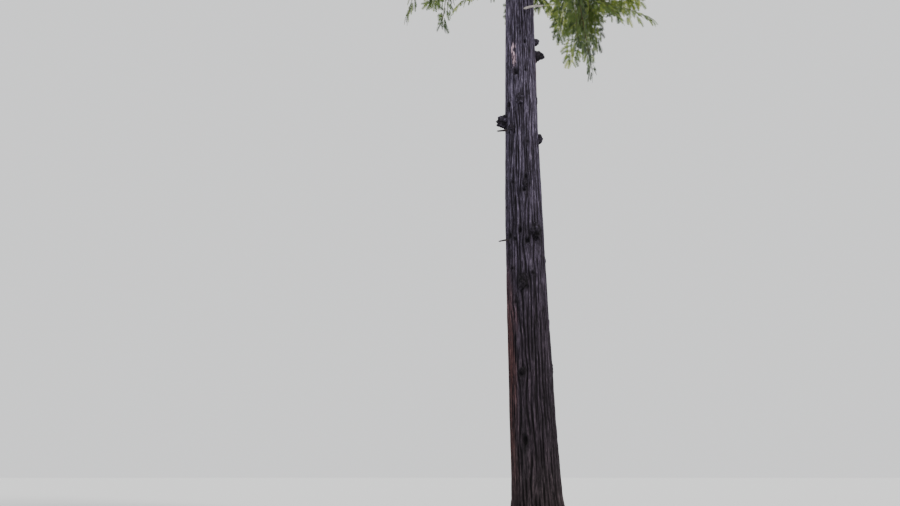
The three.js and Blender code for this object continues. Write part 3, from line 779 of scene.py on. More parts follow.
def stub_surface(rows, sides):
    """The stub's line sags with the square of the way along, and one that points to a side first leaves
    the bark more squarely: its bend is 27/4 of t times the square of 1 less t, which is greatest, and 1,
    a third of the way along. Its rings swell at the root, taper, are dented, and end in splinters. Long
    checks in the wood come from noise stretched along it."""
    height, degrees, points, rise, length, radius = (column[:, None] for column in STUBS.T)
    buried = trunk_radius(height) * STUB_ROOT_DEPTH
    start = trunk_centre(height) + towards(np.radians(degrees)) * (trunk_radius(height) - buried)[..., None]
    way = unit(towards(np.radians(points)) + UP * np.tan(np.radians(rise))[..., None])
    bend = towards(np.radians(degrees)) * (STUB_BEND * np.sin(np.radians(points - degrees)) ** 2)[..., None]

    def point_at(t):
        straight = start + way * (t * (length + buried))[..., None]
        bent = straight + bend * (BEND_PEAK * t * (1 - t) ** 2)[..., None]
        return bent - UP * STUB_SAG * (t * t)[..., None]

    count = len(STUBS)
    t = np.broadcast_to(np.linspace(0, 1, rows), (count, rows))
    limb, ring, side = np.arange(count), np.arange(rows)[None, :, None], np.arange(sides)
    dents = 1 + spread(STUB_FACETS, limb[:, None, None], side, FOR_FACETS)
    dents = dents + spread(STUB_DENTS, ring, side, limb[:, None, None])
    collar = 1 + STUB_COLLAR * np.exp(-t * (length + buried) / COLLAR_FADE)
    girth = (radius * lerp(1, STUB_TAPER, t) * collar)[..., None] * dents
    rings, tangent = rings_on(point_at, t, girth, sides)
    splinter = chance(limb[:, None], side, FOR_SPLINTERS) ** 2 * SPLINTERS * length
    rings[:, -1] += tangent[:, -1, None] * splinter[..., None]
    rings[:, -2] += tangent[:, -2, None] * splinter[..., None] * SPLINTERS_BEFORE
    sunk = point_at(np.full((count, 1), SUNK_TO))[:, 0]

    angle = TURN * side / sides
    along = t[..., None] * CHECKS_ALONG + limb[:, None, None] * CHECKS_APART
    place = np.broadcast_arrays(np.cos(angle) * CHECKS_ROUND, np.sin(angle) * CHECKS_ROUND, along)
    checks = rough_noise(np.stack(place, axis=-1), 3, FOR_CHECKS)
    checks = np.concatenate([checks.reshape(count, -1), np.full((count, 2), END_CHECKS)], axis=1)
    return tube_corners(rings, point_at(t)[:, 0], sunk), tube_faces(count, rows, sides), checks.ravel()


# %% The stubs' finish and piece
def dead_wood_finish(name, dark, middle, light):
    """Weathered wood: the checks along it, kept at its corners, and two noises pick the colour."""
    finish = Finish(name, specular=0.25)
    checks = finish.shade("checks")
    grain = finish.noise(finish.place(), 170.0, 4.0, 0.65)
    weather = finish.noise(finish.place(), 14.0, 3.0)
    level = checks * 1.7 + grain * 0.5 + weather * 0.4 - 0.92
    body = finish.ramp(level, [(0.1, dark), (0.45, middle), (0.85, light)])
    return finish.paint(body, 0.75 + grain * 0.2, checks * 1.5 + grain * 0.4, 0.006, 0.7)


stub_corners, stub_faces, stub_checks = stub_surface(STUB_ROWS, STUB_SIDES)
stub_finishes = [
    dead_wood_finish("silver_wood", colour(92, 84, 82), colour(160, 152, 148), colour(214, 207, 202)),
    dead_wood_finish("dark_wood", colour(24, 19, 21), colour(44, 37, 40), colour(84, 76, 78)),
]
is_dark = np.arange(len(STUBS)) > 0
stub_dealt = np.concatenate([np.repeat(is_dark, len(part) // len(STUBS)) for part in stub_faces])
stub_shades = {"checks": stub_checks}
stub_piece = add_piece("dead_limbs", stub_corners, stub_faces, stub_finishes, stub_shades, stub_dealt)
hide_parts(*[f"dead_stub_{i + 1}" for i in range(len(STUBS))])

# %% [markdown]
# ## The crown's plan
# The crown starts about a third of the way up. Its boughs leave the trunk on a golden spiral, low ones
# nearly level and sagging, high ones steep. The plan is the solids' own rule: the same sizes, the same
# order and the same chances, so that what grows here grows inside the space that each mass of foliage has
# there.

# %% The boughs' plan
CROWN_FOOT, CROWN_RADIUS, CROWN_TAPER = 14.2, 3.7, 0.62
FOOT_SHARE, FULL_AT, SHORTEST_REACH = 0.78, 0.16, 0.48
BOUGHS, LIMBED, TOP_BOUGH, CROWDING = 46, 8, 39.2, 1.25
FIRST_BEARING = np.radians(118)
HEIGHT_SPREAD, BEARING_SPREAD, REACH_SPREAD = 0.14, 0.13, 0.12
LAUNCH_LOW, LAUNCH_HIGH, LAUNCH_BEND, LAUNCH_SPREAD = np.radians(6), np.radians(52), 1.4, 0.07
SAG_LOW, SAG_HIGH, LIFT_LOW, LIFT_HIGH = 0.52, 0.3, 0.24, 0.1
SIDE_BEND = np.radians(11)
LIMB_SLIMNESS, LIMB_LEAST, LIMB_TIP_SHARE = 0.0125, 0.006, 0.16
COLLAR_SWELL, COLLAR_LENGTH, LIMB_SHARE = 0.55, 0.13, 0.4


def crown_reach(height):
    """How far the crown reaches from the trunk: widest a little above its foot, narrowing to the tip."""
    share = (height - CROWN_FOOT) / (TREE_HEIGHT - CROWN_FOOT)
    foot = lerp(FOOT_SHARE, 1, smoothstep(share, 0, FULL_AT))
    return np.maximum(SHORTEST_REACH, CROWN_RADIUS * foot * (1 - share) ** CROWN_TAPER)


bough = np.arange(BOUGHS)
low_to_high = bough / (BOUGHS - 1)
even_height = lerp(CROWN_FOOT, TOP_BOUGH, 1 - (1 - low_to_high) ** CROWDING)
bough_height = even_height + spread(HEIGHT_SPREAD, bough, 1)
up = (np.maximum(0, bough_height - CROWN_FOOT) / (TREE_HEIGHT - CROWN_FOOT)) ** LAUNCH_BEND
bough_bearing = FIRST_BEARING + bough * GOLDEN_ANGLE + spread(BEARING_SPREAD, bough, 2)
reach = crown_reach(bough_height) * (1 + spread(REACH_SPREAD, bough, 3))
slope = np.tan(lerp(LAUNCH_LOW, LAUNCH_HIGH, up) + spread(LAUNCH_SPREAD, bough, 4))
sag = lerp(SAG_LOW, SAG_HIGH, up)
lift = lerp(LIFT_LOW, LIFT_HIGH, up)
side_bend = spread(SIDE_BEND, bough, 5)
limbed = bough < LIMBED
print("boughs", BOUGHS, "reach from", reach.min().round(2), "to", reach.max().round(2))


# %% A bough's line and its own space
CURVE_SAMPLES = 14
RIM, TRUNK_RIM = 0.06, 0.11
CHUNK = 6000


def bough_point(i, t):
    """Out along a bearing that bends with t squared, while the height rises, sags and lifts with t."""
    level = towards(bough_bearing[i] + side_bend[i] * t * t) * (reach[i] * t)[..., None]
    rise = reach[i] * (slope[i] * t - sag[i] * t * t + lift[i] * t**3)
    return trunk_centre(bough_height[i]) + level + UP * rise[..., None]


def bough_radius(i, t):
    """Tapering from root to tip, with a collar that swells it where it leaves the bark."""
    from_bark = np.maximum(0, reach[i] * t - trunk_radius(bough_height[i]))
    collar = 1 + COLLAR_SWELL * np.exp(-from_bark / COLLAR_LENGTH)
    return (reach[i] * LIMB_SLIMNESS + LIMB_LEAST) * lerp(1, LIMB_TIP_SHARE, t) * collar


sample_stations = np.linspace(0, 1, CURVE_SAMPLES + 1)
samples = bough_point(bough[:, None], np.broadcast_to(sample_stations, (BOUGHS, CURVE_SAMPLES + 1)))


def in_own_space(i, points, rim=RIM):
    """True where a point's own bough is nearer than every other one by the rim, the trunk is clear of it
    and it isn't above the tree. Worked out a few thousand points at a time, to spare memory."""
    answers = []
    for first in range(0, len(points), CHUNK):
        part, own = points[first:first + CHUNK], i[first:first + CHUNK]
        distance = np.linalg.norm(part[:, None, None] - samples[None], axis=-1).min(axis=-1)
        rows = np.arange(len(part))
        mine = distance[rows, own].copy()
        distance[rows, own] = np.inf
        axis = trunk_centre(part[:, 2])
        clear = np.hypot(*(part - axis)[:, :2].T) - trunk_radius(part[:, 2]) >= TRUNK_RIM
        answers.append((distance.min(axis=-1) > mine + rim) & clear & (part[:, 2] <= TREE_HEIGHT))
    return np.concatenate(answers)


print("points kept along the boughs", samples[..., 0].size)

# %% [markdown]
# ## Boughs
# A bough is a thin limb for its size, brown and fibrous like the trunk but with finer ridges. It is one
# profile carried from inside the trunk to the tip, so there is no seam where its bare part meets its
# leafy part. The fibres have to run along a curved limb, which Object coordinates can't give, so each
# corner keeps its place on the same limb laid straight, and the finish reads that place.

# %% The boughs' surface
BOUGH_ROWS, BOUGH_SIDES, BOUGH_FROM, BOUGH_TO, BOUGH_END = 56, 14, 0.02, 0.985, 0.99
BOUGH_APART, BOUGH_LEAST_GIRTH, BOUGH_RIDGES = 3.7, 0.84, 0.34
RIDGES_FINER_ROUND, RIDGES_FINER_ALONG, FOR_BOUGH_RIDGES = 2.2, 4.0, 90


def bough_surface(rows, sides):
    """Rings along each bough's curve, swollen and dented by stretched noise, thinning to a point at the
    tip. Each corner keeps its place on a straight limb of the same length and girth, so that fibres can
    follow the limb."""
    i = bough[:, None]
    t = np.broadcast_to(np.linspace(BOUGH_FROM, BOUGH_TO, rows), (BOUGHS, rows))
    angle = TURN * np.arange(sides) / sides
    circle = np.stack([np.cos(angle), np.sin(angle), 0 * angle], axis=-1)
    stations = UP * (t * reach[i] * RIDGES_FINER_ALONG + i * BOUGH_APART)[..., None, None]
    ridges = rough_noise(circle * RIDGES_FINER_ROUND + stations, 3, FOR_BOUGH_RIDGES)
    radius = bough_radius(i, t)
    girth = radius[..., None] * (BOUGH_LEAST_GIRTH + BOUGH_RIDGES * ridges)
    rings, _ = rings_on(lambda s: bough_point(i, s), t, girth, sides)
    ends = bough_point(i, np.broadcast_to([BOUGH_FROM, BOUGH_END], (BOUGHS, 2)))
    crest = np.concatenate([(ridges * 1.3 - 0.1).reshape(BOUGHS, -1), np.full((BOUGHS, 2), 0.5)], axis=1)
    middle = UP * (t * reach[i] + i * BOUGH_APART)[..., None]
    straight = circle * radius[..., None, None] + middle[:, :, None]
    shades = {
        "crest": crest.ravel(),
        "knot": np.zeros(crest.size),
        # The boughs all take the painted shade and light by height of one point, a fifth of the way up.
        "aloft": np.full(crest.size, 0.2),
        "kept": tube_corners(straight, middle[:, 0], middle[:, -1]),
    }
    return tube_corners(rings, ends[:, 0], ends[:, 1]), tube_faces(BOUGHS, rows, sides), shades


# %% The boughs' finish and piece
# From hollow to ridge; as on the trunk, the dark end is partly painted shade in the dents.
LIMB_COLOURS = [
    (0.0, colour(34, 26, 24)),
    (0.35, colour(66, 52, 46)),
    (0.7, colour(102, 84, 74)),
    (1.0, colour(140, 121, 108)),
]
limb_finish = bark_finish("limb_bark", LIMB_COLOURS, FLANK_COLOURS, fibre_scale=90.0, kept_place="kept")
bough_corners, bough_faces, bough_shades = bough_surface(BOUGH_ROWS, BOUGH_SIDES)
bough_piece = add_piece("boughs", bough_corners, bough_faces, [limb_finish], bough_shades)
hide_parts(*[f"bough_{i + 1:02d}" for i in range(LIMBED)])

# %% [markdown]
# ## Twigs
# In the solids each mass has a few twigs on a golden spiral round its stem, each ending in a toothed
# blade that stands for a spray. Here the same twigs grow at the same places, two smaller ones grow
# between each pair, and the blade opens into twiglets left and right in its own plane. Twigs that would
# enter a neighbour's space stop short of it. All twigs are worked out together: one array row is one
# twig.

# %% Twigs on the stems
BARE_STEM, BARE_STEM_PAST_LIMB, LAST_TWIG, TWIG_AT_MOST = 0.22, 0.03, 0.9, 0.93
TWIG_SPACING, FEWEST_TWIGS, FIRST_TWIG = 0.54, 6, 0.4
TWIG_REACH, TWIG_TIP_SHARE, TWIG_RADIUS, TWIG_SLIMNESS, TWIG_TAPER = 0.42, 0.4, 0.009, 0.002, 0.7
LENGTH_SPREAD, TWIG_FORWARD, FORWARD_SPREAD, ROUND_SPREAD = 0.15, np.radians(58), 0.16, 0.4
TWIG_RISE, TWIG_DROOP, TWIG_SAG = 1.0, 0.2, 0.18
BLADE_LENGTH, BLADE_SPARE, BLADE_WIDTH, BLADE_ROLL = 0.3, 0.28, 0.66, 0.9

# For a twig of the solids and the two smaller ones that follow it: place, length, width and bare share.
BETWEEN = np.array([0.0, 1 / 3, 2 / 3])
BETWEEN_LENGTH = np.array([1.0, 0.72, 0.62])
BETWEEN_WIDTH = np.array([1.0, 0.8, 0.8])
BETWEEN_BARE = np.array([0.2, 0.1, 0.1])
BETWEEN_KEY_STEP = 50


def numbered(counts):
    """For counts 3 1 2: whose each item is, 0 0 0 1 2 2, and its number there, 0 1 2 0 0 1."""
    owner = np.repeat(np.arange(len(counts)), counts)
    return owner, np.arange(len(owner)) - np.repeat(np.cumsum(counts) - counts, counts)


def sagging_point(lines, s):
    """Along a straight line, and down by the sag times its length times s squared."""
    way = lines["way"] * (lines["length"] * s)[..., None]
    return lines["start"] + way - UP * (lines["length"] * lines["sag"] * s * s)[..., None]


def pick(lines, rows):
    """The same table with only the given rows, once for each time that a row is given."""
    return {title: values[rows] for title, values in lines.items()}


def with_stations(lines):
    """What sagging_point reads of a table, with one more axis, so that a line can have several stations."""
    return {title: lines[title][:, None] for title in ("start", "way", "length", "sag")}


twig_counts = np.maximum(FEWEST_TWIGS, np.floor(reach / TWIG_SPACING + 0.5)).astype(int)
owner, place_in_row = numbered(twig_counts * len(BETWEEN))
k, part = place_in_row // len(BETWEEN), place_in_row % len(BETWEEN)
along = k + BETWEEN[part]
key = k + BETWEEN_KEY_STEP * part
share = (along + FIRST_TWIG) / twig_counts[owner]
first = np.where(limbed, LIMB_SHARE + BARE_STEM_PAST_LIMB, BARE_STEM)[owner]
t = np.minimum(lerp(first, LAST_TWIG, share), TWIG_AT_MOST)
tangent, across, normal = frame_on(lambda s: bough_point(owner, s), t)
forward = TWIG_FORWARD + spread(FORWARD_SPREAD, owner, key, 1)
around = along * GOLDEN_ANGLE + spread(ROUND_SPREAD, owner, key, 2)
way = unit(
    tangent * np.cos(forward)[:, None]
    + across * (np.sin(forward) * np.cos(around))[:, None]
    + normal * (np.sin(forward) * np.sin(around) * TWIG_RISE - TWIG_DROOP)[:, None]
)
bare = reach[owner] * TWIG_REACH * lerp(1, TWIG_TIP_SHARE, share)
bare = bare * (1 + spread(LENGTH_SPREAD, owner, key, 3))
blade = (reach * BLADE_LENGTH + BLADE_SPARE)[owner]
thickness = np.minimum(TWIG_RADIUS + reach[owner] * TWIG_SLIMNESS, bough_radius(owner, t) * TWIG_TAPER)
twigs = {
    "bough": owner,
    "start": bough_point(owner, t),
    "way": way,
    "length": (bare + blade) * BETWEEN_LENGTH[part],
    "sag": np.full(len(owner), TWIG_SAG),
    "radius": thickness * BETWEEN_LENGTH[part],
    "half": blade * BLADE_WIDTH / 2 * BETWEEN_WIDTH[part],
    "roll": spread(BLADE_ROLL, owner, key, 4),
    "leafy": BETWEEN_BARE[part],
}

# The stem's own tip is leafy too: one more twig for each bough, straight on along it.
TIP_FROM = 0.72
tip_start = bough_point(bough, np.full(BOUGHS, TIP_FROM))
tip_way = bough_point(bough, np.ones(BOUGHS)) - tip_start
tips = {
    "bough": bough,
    "start": tip_start,
    "way": unit(tip_way),
    "length": np.linalg.norm(tip_way, axis=-1),
    "sag": np.zeros(BOUGHS),
    "radius": bough_radius(bough, np.full(BOUGHS, TIP_FROM)) * 0.5,
    "half": (reach * BLADE_LENGTH + BLADE_SPARE) * BLADE_WIDTH / 2,
    "roll": np.zeros(BOUGHS),
    "leafy": np.zeros(BOUGHS),
}
twigs = {title: np.concatenate([twigs[title], tips[title]]) for title in twigs}

# %% Twigs that stop short of a neighbour
STOPS = np.linspace(0.1, 1, 10)
ALWAYS_FREE, SHORTEST_KEPT = 2, 0.32

stop_points = sagging_point(with_stations(twigs), STOPS)
free = in_own_space(np.repeat(twigs["bough"], len(STOPS)), stop_points.reshape(-1, 3))
free = free.reshape(-1, len(STOPS))
free[:, :ALWAYS_FREE] = True
free[-BOUGHS:] = True
twigs["until"] = np.where(free.all(axis=1), 1.0, STOPS[np.argmin(free, axis=1)] - STOPS[0])
twigs = pick(twigs, np.flatnonzero(twigs["until"] > SHORTEST_KEPT))
print("twigs", len(twigs["bough"]), "cut short", int((twigs["until"] < 1).sum()))

# %% Twiglets in each blade's plane
TWIGLET_SPACING, TWIGLET_CROWDED, FEWEST_TWIGLETS, SHORTEST_TWIGLET = 0.09, 0.68, 3, 0.05
TWIGLET_ANGLE, ANGLE_AT_FOOT, ANGLE_AT_END = np.radians(54), 1.12, 0.72
TWIGLET_OUT_OF_PLANE, TWIGLET_SAG, TWIGLET_RADIUS = 0.3, 0.32, 0.0045
BLADE_FOOT, BLADE_END, BLADE_FILL = 0.3, 0.93, 0.88

leafy_length = twigs["length"] * (twigs["until"] - twigs["leafy"])
spacing = TWIGLET_SPACING * lerp(TWIGLET_CROWDED, 1, reach[twigs["bough"]] / reach.max())
owner, number = numbered(np.maximum(FEWEST_TWIGLETS, np.ceil(leafy_length / spacing)).astype(int))
parent = pick(twigs, owner)
along = (number + 0.5 + spread(0.25, owner, number, 30)) / np.bincount(owner)[owner]
s = lerp(parent["leafy"], parent["until"], np.clip(along, 0, 1))
tangent, across, normal = frame_on(lambda at: sagging_point(parent, at), s)
turned_across = across * np.cos(parent["roll"])[:, None] + normal * np.sin(parent["roll"])[:, None]
turned_normal = normal * np.cos(parent["roll"])[:, None] - across * np.sin(parent["roll"])[:, None]
side = np.where(number % 2 == 0, 1.0, -1.0)
angle = TWIGLET_ANGLE * lerp(ANGLE_AT_FOOT, ANGLE_AT_END, along) * (1 + spread(0.16, owner, number, 31))
out_of_plane = spread(TWIGLET_OUT_OF_PLANE, owner, number, 32)
way = unit(
    tangent * np.cos(angle)[:, None]
    + turned_across * (side * np.sin(angle))[:, None]
    + turned_normal * out_of_plane[:, None]
)
outline = np.sin(np.pi * lerp(BLADE_FOOT, BLADE_END, s / parent["until"]))
length = parent["half"] * outline * BLADE_FILL * (1 + spread(0.2, owner, number, 33))
twiglets = {
    "bough": parent["bough"],
    "start": sagging_point(parent, s),
    "way": way,
    "length": np.maximum(SHORTEST_TWIGLET, length),
    "sag": TWIGLET_SAG * (1 + spread(0.5, owner, number, 34)),
    "radius": np.minimum(TWIGLET_RADIUS, parent["radius"] * 0.55) * lerp(1, 0.7, s),
    "normal": turned_normal,
}
near_end = sagging_point(twiglets, np.full(len(s), 0.8))
twiglets = pick(twiglets, np.flatnonzero(in_own_space(twiglets["bough"], near_end)))
print("twiglets", len(twiglets["bough"]))

# %% The twigs' surfaces
TWIG_ROWS, TWIG_SIDES, TWIGLET_ROWS, TWIGLET_SIDES = 8, 5, 3, 3
TWIG_DRAWN, TUBE_TAPER, TUBE_TIP = 0.97, 0.34, 0.01
TWIG_COLOURS = [(0.3, colour(70, 54, 42)), (0.5, colour(98, 80, 58)), (0.7, colour(104, 102, 58))]


def line_tubes(lines, until, rows, sides):
    """For each line a tube of rings along it, thinning to a third, its tip point a little past the end."""
    stationed = with_stations(lines)
    t = np.linspace(0, 1, rows) * until[:, None]
    radius = lines["radius"][:, None] * lerp(1, TUBE_TAPER, t)
    rings, _ = rings_on(lambda at: sagging_point(stationed, at), t, radius[..., None], sides)
    tips = sagging_point(lines, until + TUBE_TIP)
    return tube_corners(rings, lines["start"], tips), tube_faces(len(until), rows, sides)


def twig_finish():
    """Young twigs are brown with some green left in them: slow noise picks between, fine noise roughens."""
    finish = Finish("twig_bark", specular=0.3)
    grain = finish.noise(finish.place(), 160.0, 3.0)
    slow = finish.noise(finish.place(), 2.4, 2.0)
    body = finish.ramp(slow * 0.7 + grain * 0.3, TWIG_COLOURS)
    return finish.paint(body, 0.7 + grain * 0.25, grain, 0.002, 0.5)


twig_material = twig_finish()
twig_corners, twig_faces = line_tubes(twigs, twigs["until"] * TWIG_DRAWN, TWIG_ROWS, TWIG_SIDES)
twig_piece = add_piece("twigs", twig_corners, twig_faces, [twig_material])
whole_length = np.ones(len(twiglets["bough"]))
twiglet_corners, twiglet_faces = line_tubes(twiglets, whole_length, TWIGLET_ROWS, TWIGLET_SIDES)
twiglet_piece = add_piece("twiglets", twiglet_corners, twiglet_faces, [twig_material])

# %% [markdown]
# ## Sprays of needles
# A redwood's needles stand in two flat rows along each shoot, like a comb with two sides, longest in the
# middle. The tree has millions, so here a shoot is as long as a hand and its needles are larger than
# life. One shoot is a dozen points along a rib, and each needle is a thin triangle whose foot is the rib
# between two points, so neighbours share corners. Every shoot is the same small table of numbers, laid
# along its own directions. Small shoots stand round the leader too, the trunk's thin top end, so that it
# doesn't end as a bare spike.

# %% One shoot
NEEDLES = 11
RIB_POINTS = NEEDLES + 1
RIB_END, SHOOT_END, NEEDLE_FORWARD = 0.9, 1.06, 0.2
SHOOT_HALF, SHOOT_DROOP = 0.3, 0.12


def shoot_table():
    """Rib points, then left tips, right tips and an end tip, as shares of the shoot's length, half width
    and rise. A needle's reach aside is a sine along the rib, to a power that fills it out."""
    needle = np.arange(NEEDLES)
    rib = np.linspace(0, RIB_END, RIB_POINTS)
    middle = (rib[1:] + rib[:-1]) / 2
    reach_aside = np.sin(np.pi * np.linspace(0.26, 0.88, NEEDLES)) ** 0.7
    tip_along = middle + NEEDLE_FORWARD * reach_aside + spread(0.012, needle, 95)
    left = np.stack([tip_along, reach_aside, 0.25 * reach_aside], axis=-1)
    right = left * [1, -1, 1]
    right[:, 0] += spread(0.02, needle, 96)
    table = np.concatenate([np.outer(rib, [1, 0, 0]), left, right, [[SHOOT_END, 0, 0.1]]])
    left_faces = np.stack([needle, needle + 1, RIB_POINTS + needle], axis=-1)
    right_faces = np.stack([needle + 1, needle, RIB_POINTS + NEEDLES + needle], axis=-1)
    end_faces = np.array([[NEEDLES - 1, NEEDLES, len(table) - 1]])
    return table, np.concatenate([left_faces, right_faces, end_faces])


SHOOT, SHOOT_FACES = shoot_table()
print("a shoot has", len(SHOOT_FACES), "faces")

# %% Shoots on the twiglets
SHOOT_SPACING, SHOOT_ANGLE, LAST_SHOOT = 0.075, np.radians(44), 0.97
SHOOT_LENGTH, SHOOT_LENGTHENS, LEAN_UP, BOX_RIM = 0.16, 0.026, 0.35, 0.02

counts = np.maximum(1, np.round(twiglets["length"] / SHOOT_SPACING)).astype(int) + 1
owner, number = numbered(counts)
parent = pick(twiglets, owner)
last = number == counts[owner] - 1
s = np.where(last, LAST_SHOOT, (number + 0.45) / np.maximum(1, counts[owner] - 1))
tangent = unit(parent["way"] - UP * (2 * parent["sag"] * s)[:, None])
aside = unit(np.cross(parent["normal"], tangent))
angle = np.where(last, 0.0, SHOOT_ANGLE) + spread(0.2, owner, number, 41)
side = np.where(number % 2 == 0, 1.0, -1.0)
direction = unit(
    tangent * np.cos(angle)[:, None]
    + aside * (side * np.sin(angle))[:, None]
    - UP * lerp(0.02, 0.3, chance(owner, number, 42))[:, None]
)
tilt = spread(0.5, owner, number, 43)
lean = unit(parent["normal"] + aside * tilt[:, None] + UP * LEAN_UP)
shoot_aside = unit(np.cross(lean, direction))
size = SHOOT_LENGTH + SHOOT_LENGTHENS * reach[parent["bough"]]
shoots = {
    "bough": parent["bough"],
    "root": sagging_point(parent, s),
    "direction": direction,
    "aside": shoot_aside,
    "above": np.cross(direction, shoot_aside),
    "length": size * (1 + spread(0.25, owner, number, 44)),
}
shoot_tip = shoots["root"] + shoots["direction"] * shoots["length"][:, None]
inside = in_own_space(shoots["bough"], shoot_tip, rim=RIM / 2)
inside &= ((shoot_tip > CAD_LOW + BOX_RIM) & (shoot_tip < CAD_HIGH - BOX_RIM)).all(axis=-1)
shoots = pick(shoots, np.flatnonzero(inside))
print("shoots", len(shoots["bough"]))

# %% Shoots round the leader
LEADER_SHOOTS, LEADER_FOOT, LEADER_TOP = 84, 38.4, 39.93
LEADER_OPEN, LEADER_CLOSED = np.radians(78), np.radians(22)
LEADER_LONGEST, LEADER_SHORTEST, LEADER_ROOT = 0.3, 0.14, 0.6

number = np.arange(LEADER_SHOOTS)
up_leader = (number + 0.5) / LEADER_SHOOTS
height = lerp(LEADER_FOOT, LEADER_TOP, up_leader)
outward = towards(number * GOLDEN_ANGLE + spread(0.3, number, 46))
angle = lerp(LEADER_OPEN, LEADER_CLOSED, up_leader)[:, None]
direction = outward * np.sin(angle) + UP * np.cos(angle)
aside = unit(np.cross(UP, direction))
leader = {
    "bough": np.full(LEADER_SHOOTS, BOUGHS - 1),
    "root": trunk_centre(height) + outward * (trunk_radius(height) * LEADER_ROOT)[:, None],
    "direction": direction,
    "aside": aside,
    "above": np.cross(direction, aside),
    "length": lerp(LEADER_LONGEST, LEADER_SHORTEST, up_leader) * (1 + spread(0.35, number, 47)),
}
shoots = {title: np.concatenate([shoots[title], leader[title]]) for title in shoots}
print("with the leader's", len(shoots["bough"]))

# %% [markdown]
# ## Greens
# New growth at the ends of the sprays is yellow-green and the foliage inside the crown is deep green, and
# the
# greens carry painted light as well: outer and upper shoots are painted as if in sunlight, inner and lower
# ones in painted shade. A pattern laid over a million needles would be lost, so each shoot is dealt one of
# four plain greens instead, by how far out and how far up in its mass it grows, and by chance. A faint noise
# keeps each green from being flat.

# %% Needle finishes
# Four greens from painted shade to painted sunlight, partly also the real yellow-green of new growth.
GREENS = {
    "needles_shade": (colour(42, 58, 28), colour(58, 76, 36)),
    "needles_half_lit": (colour(72, 92, 40), colour(94, 114, 50)),
    "needles_fresh_and_lit": (colour(112, 130, 56), colour(134, 150, 68)),
    "needles_young_and_sunlit": (colour(160, 172, 82), colour(188, 196, 106)),
}


def needle_finish(name, dark, light):
    """One green: noise the size of a spray moves it a little from dark to light."""
    finish = Finish(name, specular=0.35)
    noise = finish.noise(finish.place(), 14.0, 3.0, 0.6)
    return finish.paint(finish.mix(finish.fade(noise, 0.35, 0.65), dark, light), 0.45 + noise * 0.25)


needle_finishes = [needle_finish(name, *pair) for name, pair in GREENS.items()]
print("greens", len(needle_finishes))

# %% A green for each shoot
LIGHT_BY_REACH, LIGHT_BY_HEIGHT, LIGHT_BY_CHANCE, LEAST_LIGHT = 0.5, 0.22, 0.42, 0.02
GREEN_CUTS = [0.4, 0.62, 0.84]
LEADER_FADE = 0.8


def dealt_green(table):
    """The light that a shoot gets, cut into four: the weighted sum of how far out it is, as a share of
    the crown's reach or nearness to the tree's tip, how far above its bough's own line, and chance."""
    root, i = table["root"], table["bough"]
    axis = trunk_centre(root[:, 2])
    outward = np.hypot(*(root - axis)[:, :2].T) / crown_reach(root[:, 2])
    outward = np.maximum(outward, smoothstep(root[:, 2], LEADER_FOOT - LEADER_FADE, LEADER_TOP))
    nearest = np.linalg.norm(root[:, None] - samples[i], axis=-1).argmin(axis=1)
    above = (root[:, 2] - samples[i, nearest, 2]) / (0.3 * reach[i] + 0.2)
    light = LIGHT_BY_REACH * outward + LIGHT_BY_HEIGHT * np.clip(above, -1, 1)
    light = light + LIGHT_BY_CHANCE * chance(np.arange(len(i)), 97) + LEAST_LIGHT
    return np.digitize(light, GREEN_CUTS)


def shoot_mesh(table):
    """The shoot's table, times each shoot's own directions and length. The rib droops with the square of
    the way along it."""
    length = table["length"][:, None, None]
    x, y, z = (SHOOT[None, :, axis, None] for axis in range(3))
    corners = table["root"][:, None] + length * (
        x * table["direction"][:, None]
        + SHOOT_HALF * y * table["aside"][:, None]
        + SHOOT_HALF * z * table["above"][:, None]
    )
    corners = corners - UP * (SHOOT_DROOP * length * x * x)
    faces = SHOOT_FACES[None] + np.arange(len(length))[:, None, None] * len(SHOOT)
    return corners.reshape(-1, 3), [faces.reshape(-1, 3)], np.repeat(dealt_green(table), len(SHOOT_FACES))


# %% The needles in groups of boughs
PIECE_LIMIT = 190000

per_bough = np.bincount(shoots["bough"], minlength=BOUGHS) * len(SHOOT_FACES)
group_of, total, group = [], 0, 0
for triangles in per_bough:
    if total + triangles > PIECE_LIMIT:
        total, group = 0, group + 1
    total += triangles
    group_of.append(group)
group_of = np.array(group_of)
for group in range(group_of.max() + 1):
    members = np.flatnonzero(group_of == group)
    corners, faces, dealt = shoot_mesh(pick(shoots, np.flatnonzero(group_of[shoots["bough"]] == group)))
    needles = add_piece(f"needles_{group + 1}", corners, faces, needle_finishes, None, dealt)
    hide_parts(*[f"foliage_{i + 1:02d}" for i in members])

# %% [markdown]
# ## Floor, light and camera
# The object stands on a plain pale floor in soft studio light. The camera stands where the photograph was
# taken: low, fifteen metres from the trunk, tilted up eighteen degrees, so the frame cuts the trunk at
# its foot and just under the crown.

# %% Floor
FLOOR_SIDES, FLOOR_RINGS = 96, np.array([4.0, 20.0, 90.0, 400.0, 900.0])
FLOOR_PALE, FLOOR_GREY = colour(223, 224, 224), colour(215, 216, 216)

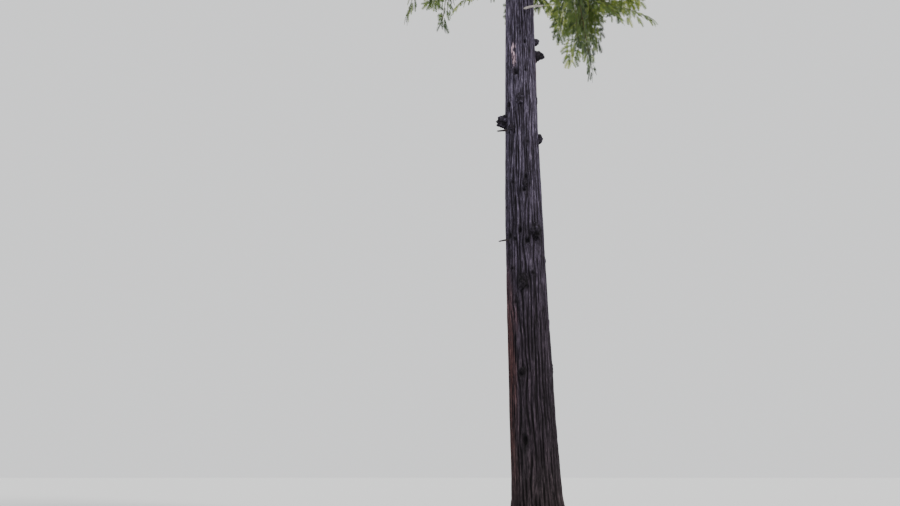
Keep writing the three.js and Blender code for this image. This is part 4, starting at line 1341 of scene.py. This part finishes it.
# Rings on the ground round a middle point: a tube's faces laid flat, without its far end, and turned up.
angle = TURN * np.arange(FLOOR_SIDES) / FLOOR_SIDES
spokes = np.stack([np.cos(angle), np.sin(angle), 0 * angle], axis=-1)
floor_corners = np.concatenate([(FLOOR_RINGS[:, None, None] * spokes).reshape(-1, 3), np.zeros((1, 3))])
floor_quads, floor_fans = tube_faces(1, len(FLOOR_RINGS), FLOOR_SIDES)
floor_faces = [face[::-1] for face in floor_quads.tolist() + floor_fans[:FLOOR_SIDES].tolist()]
floor_mesh = bpy.data.meshes.new("floor")
floor_mesh.from_pydata(floor_corners.tolist(), [], floor_faces)
floor_finish = Finish("pale_floor", specular=0.1)
speckle = floor_finish.noise(floor_finish.place(), 3.0, 2.0)
floor_body = floor_finish.mix(speckle * 0.3, FLOOR_PALE, FLOOR_GREY)
floor_mesh.materials.append(floor_finish.paint(floor_body, 0.85 + speckle * 0.1))
floor = bpy.data.objects.new("floor", floor_mesh)
bpy.context.scene.collection.objects.link(floor)
floor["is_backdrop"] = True
print("floor faces", len(floor_faces))

# %% Light
WORLD_COLOUR, WORLD_STRENGTH = (0.93, 0.94, 0.95, 1), 1.15


def add_sun(name, bearing_degrees, elevation_degrees, strength, softness_degrees, tint):
    """A far soft light from a bearing and an elevation; its softness is the angle that it fills."""
    lamp = bpy.data.lights.new(name, "SUN")
    lamp.energy, lamp.angle, lamp.color = strength, np.radians(softness_degrees), tint
    holder = bpy.data.objects.new(name, lamp)
    holder.rotation_euler = (np.radians(90 - elevation_degrees), 0, np.radians(bearing_degrees))
    bpy.context.scene.collection.objects.link(holder)
    print(name, "from bearing", bearing_degrees, "and", elevation_degrees, "degrees up")


add_sun("key_light", 48, 42, strength=2.4, softness_degrees=14, tint=(1.0, 0.97, 0.92))
add_sun("fill_light", -62, 30, strength=0.7, softness_degrees=30, tint=(0.93, 0.96, 1.0))
world = bpy.data.worlds.new("studio")
bpy.context.scene.world = world
world.use_nodes = True
background = world.node_tree.nodes["Background"]
background.inputs["Color"].default_value = WORLD_COLOUR
background.inputs["Strength"].default_value = WORLD_STRENGTH

# %% Camera
CAMERA_PLACE, CAMERA_TILT, CAMERA_LENS, SENSOR_WIDTH = (-1.76, -14.7, 1.18), 17.89, 27.72, 36.0
NEAREST_SEEN, FARTHEST_SEEN = 0.1, 2000.0

camera = bpy.data.cameras.new("camera")
camera.lens, camera.sensor_width = CAMERA_LENS, SENSOR_WIDTH
camera.clip_start, camera.clip_end = NEAREST_SEEN, FARTHEST_SEEN
camera_object = bpy.data.objects.new("camera", camera)
camera_object.location = CAMERA_PLACE
camera_object.rotation_euler = (np.radians(90 + CAMERA_TILT), 0, 0)
bpy.context.scene.collection.objects.link(camera_object)
bpy.context.scene.camera = camera_object
print("camera", CAMERA_PLACE, "tilted up", CAMERA_TILT, "degrees, lens", CAMERA_LENS)
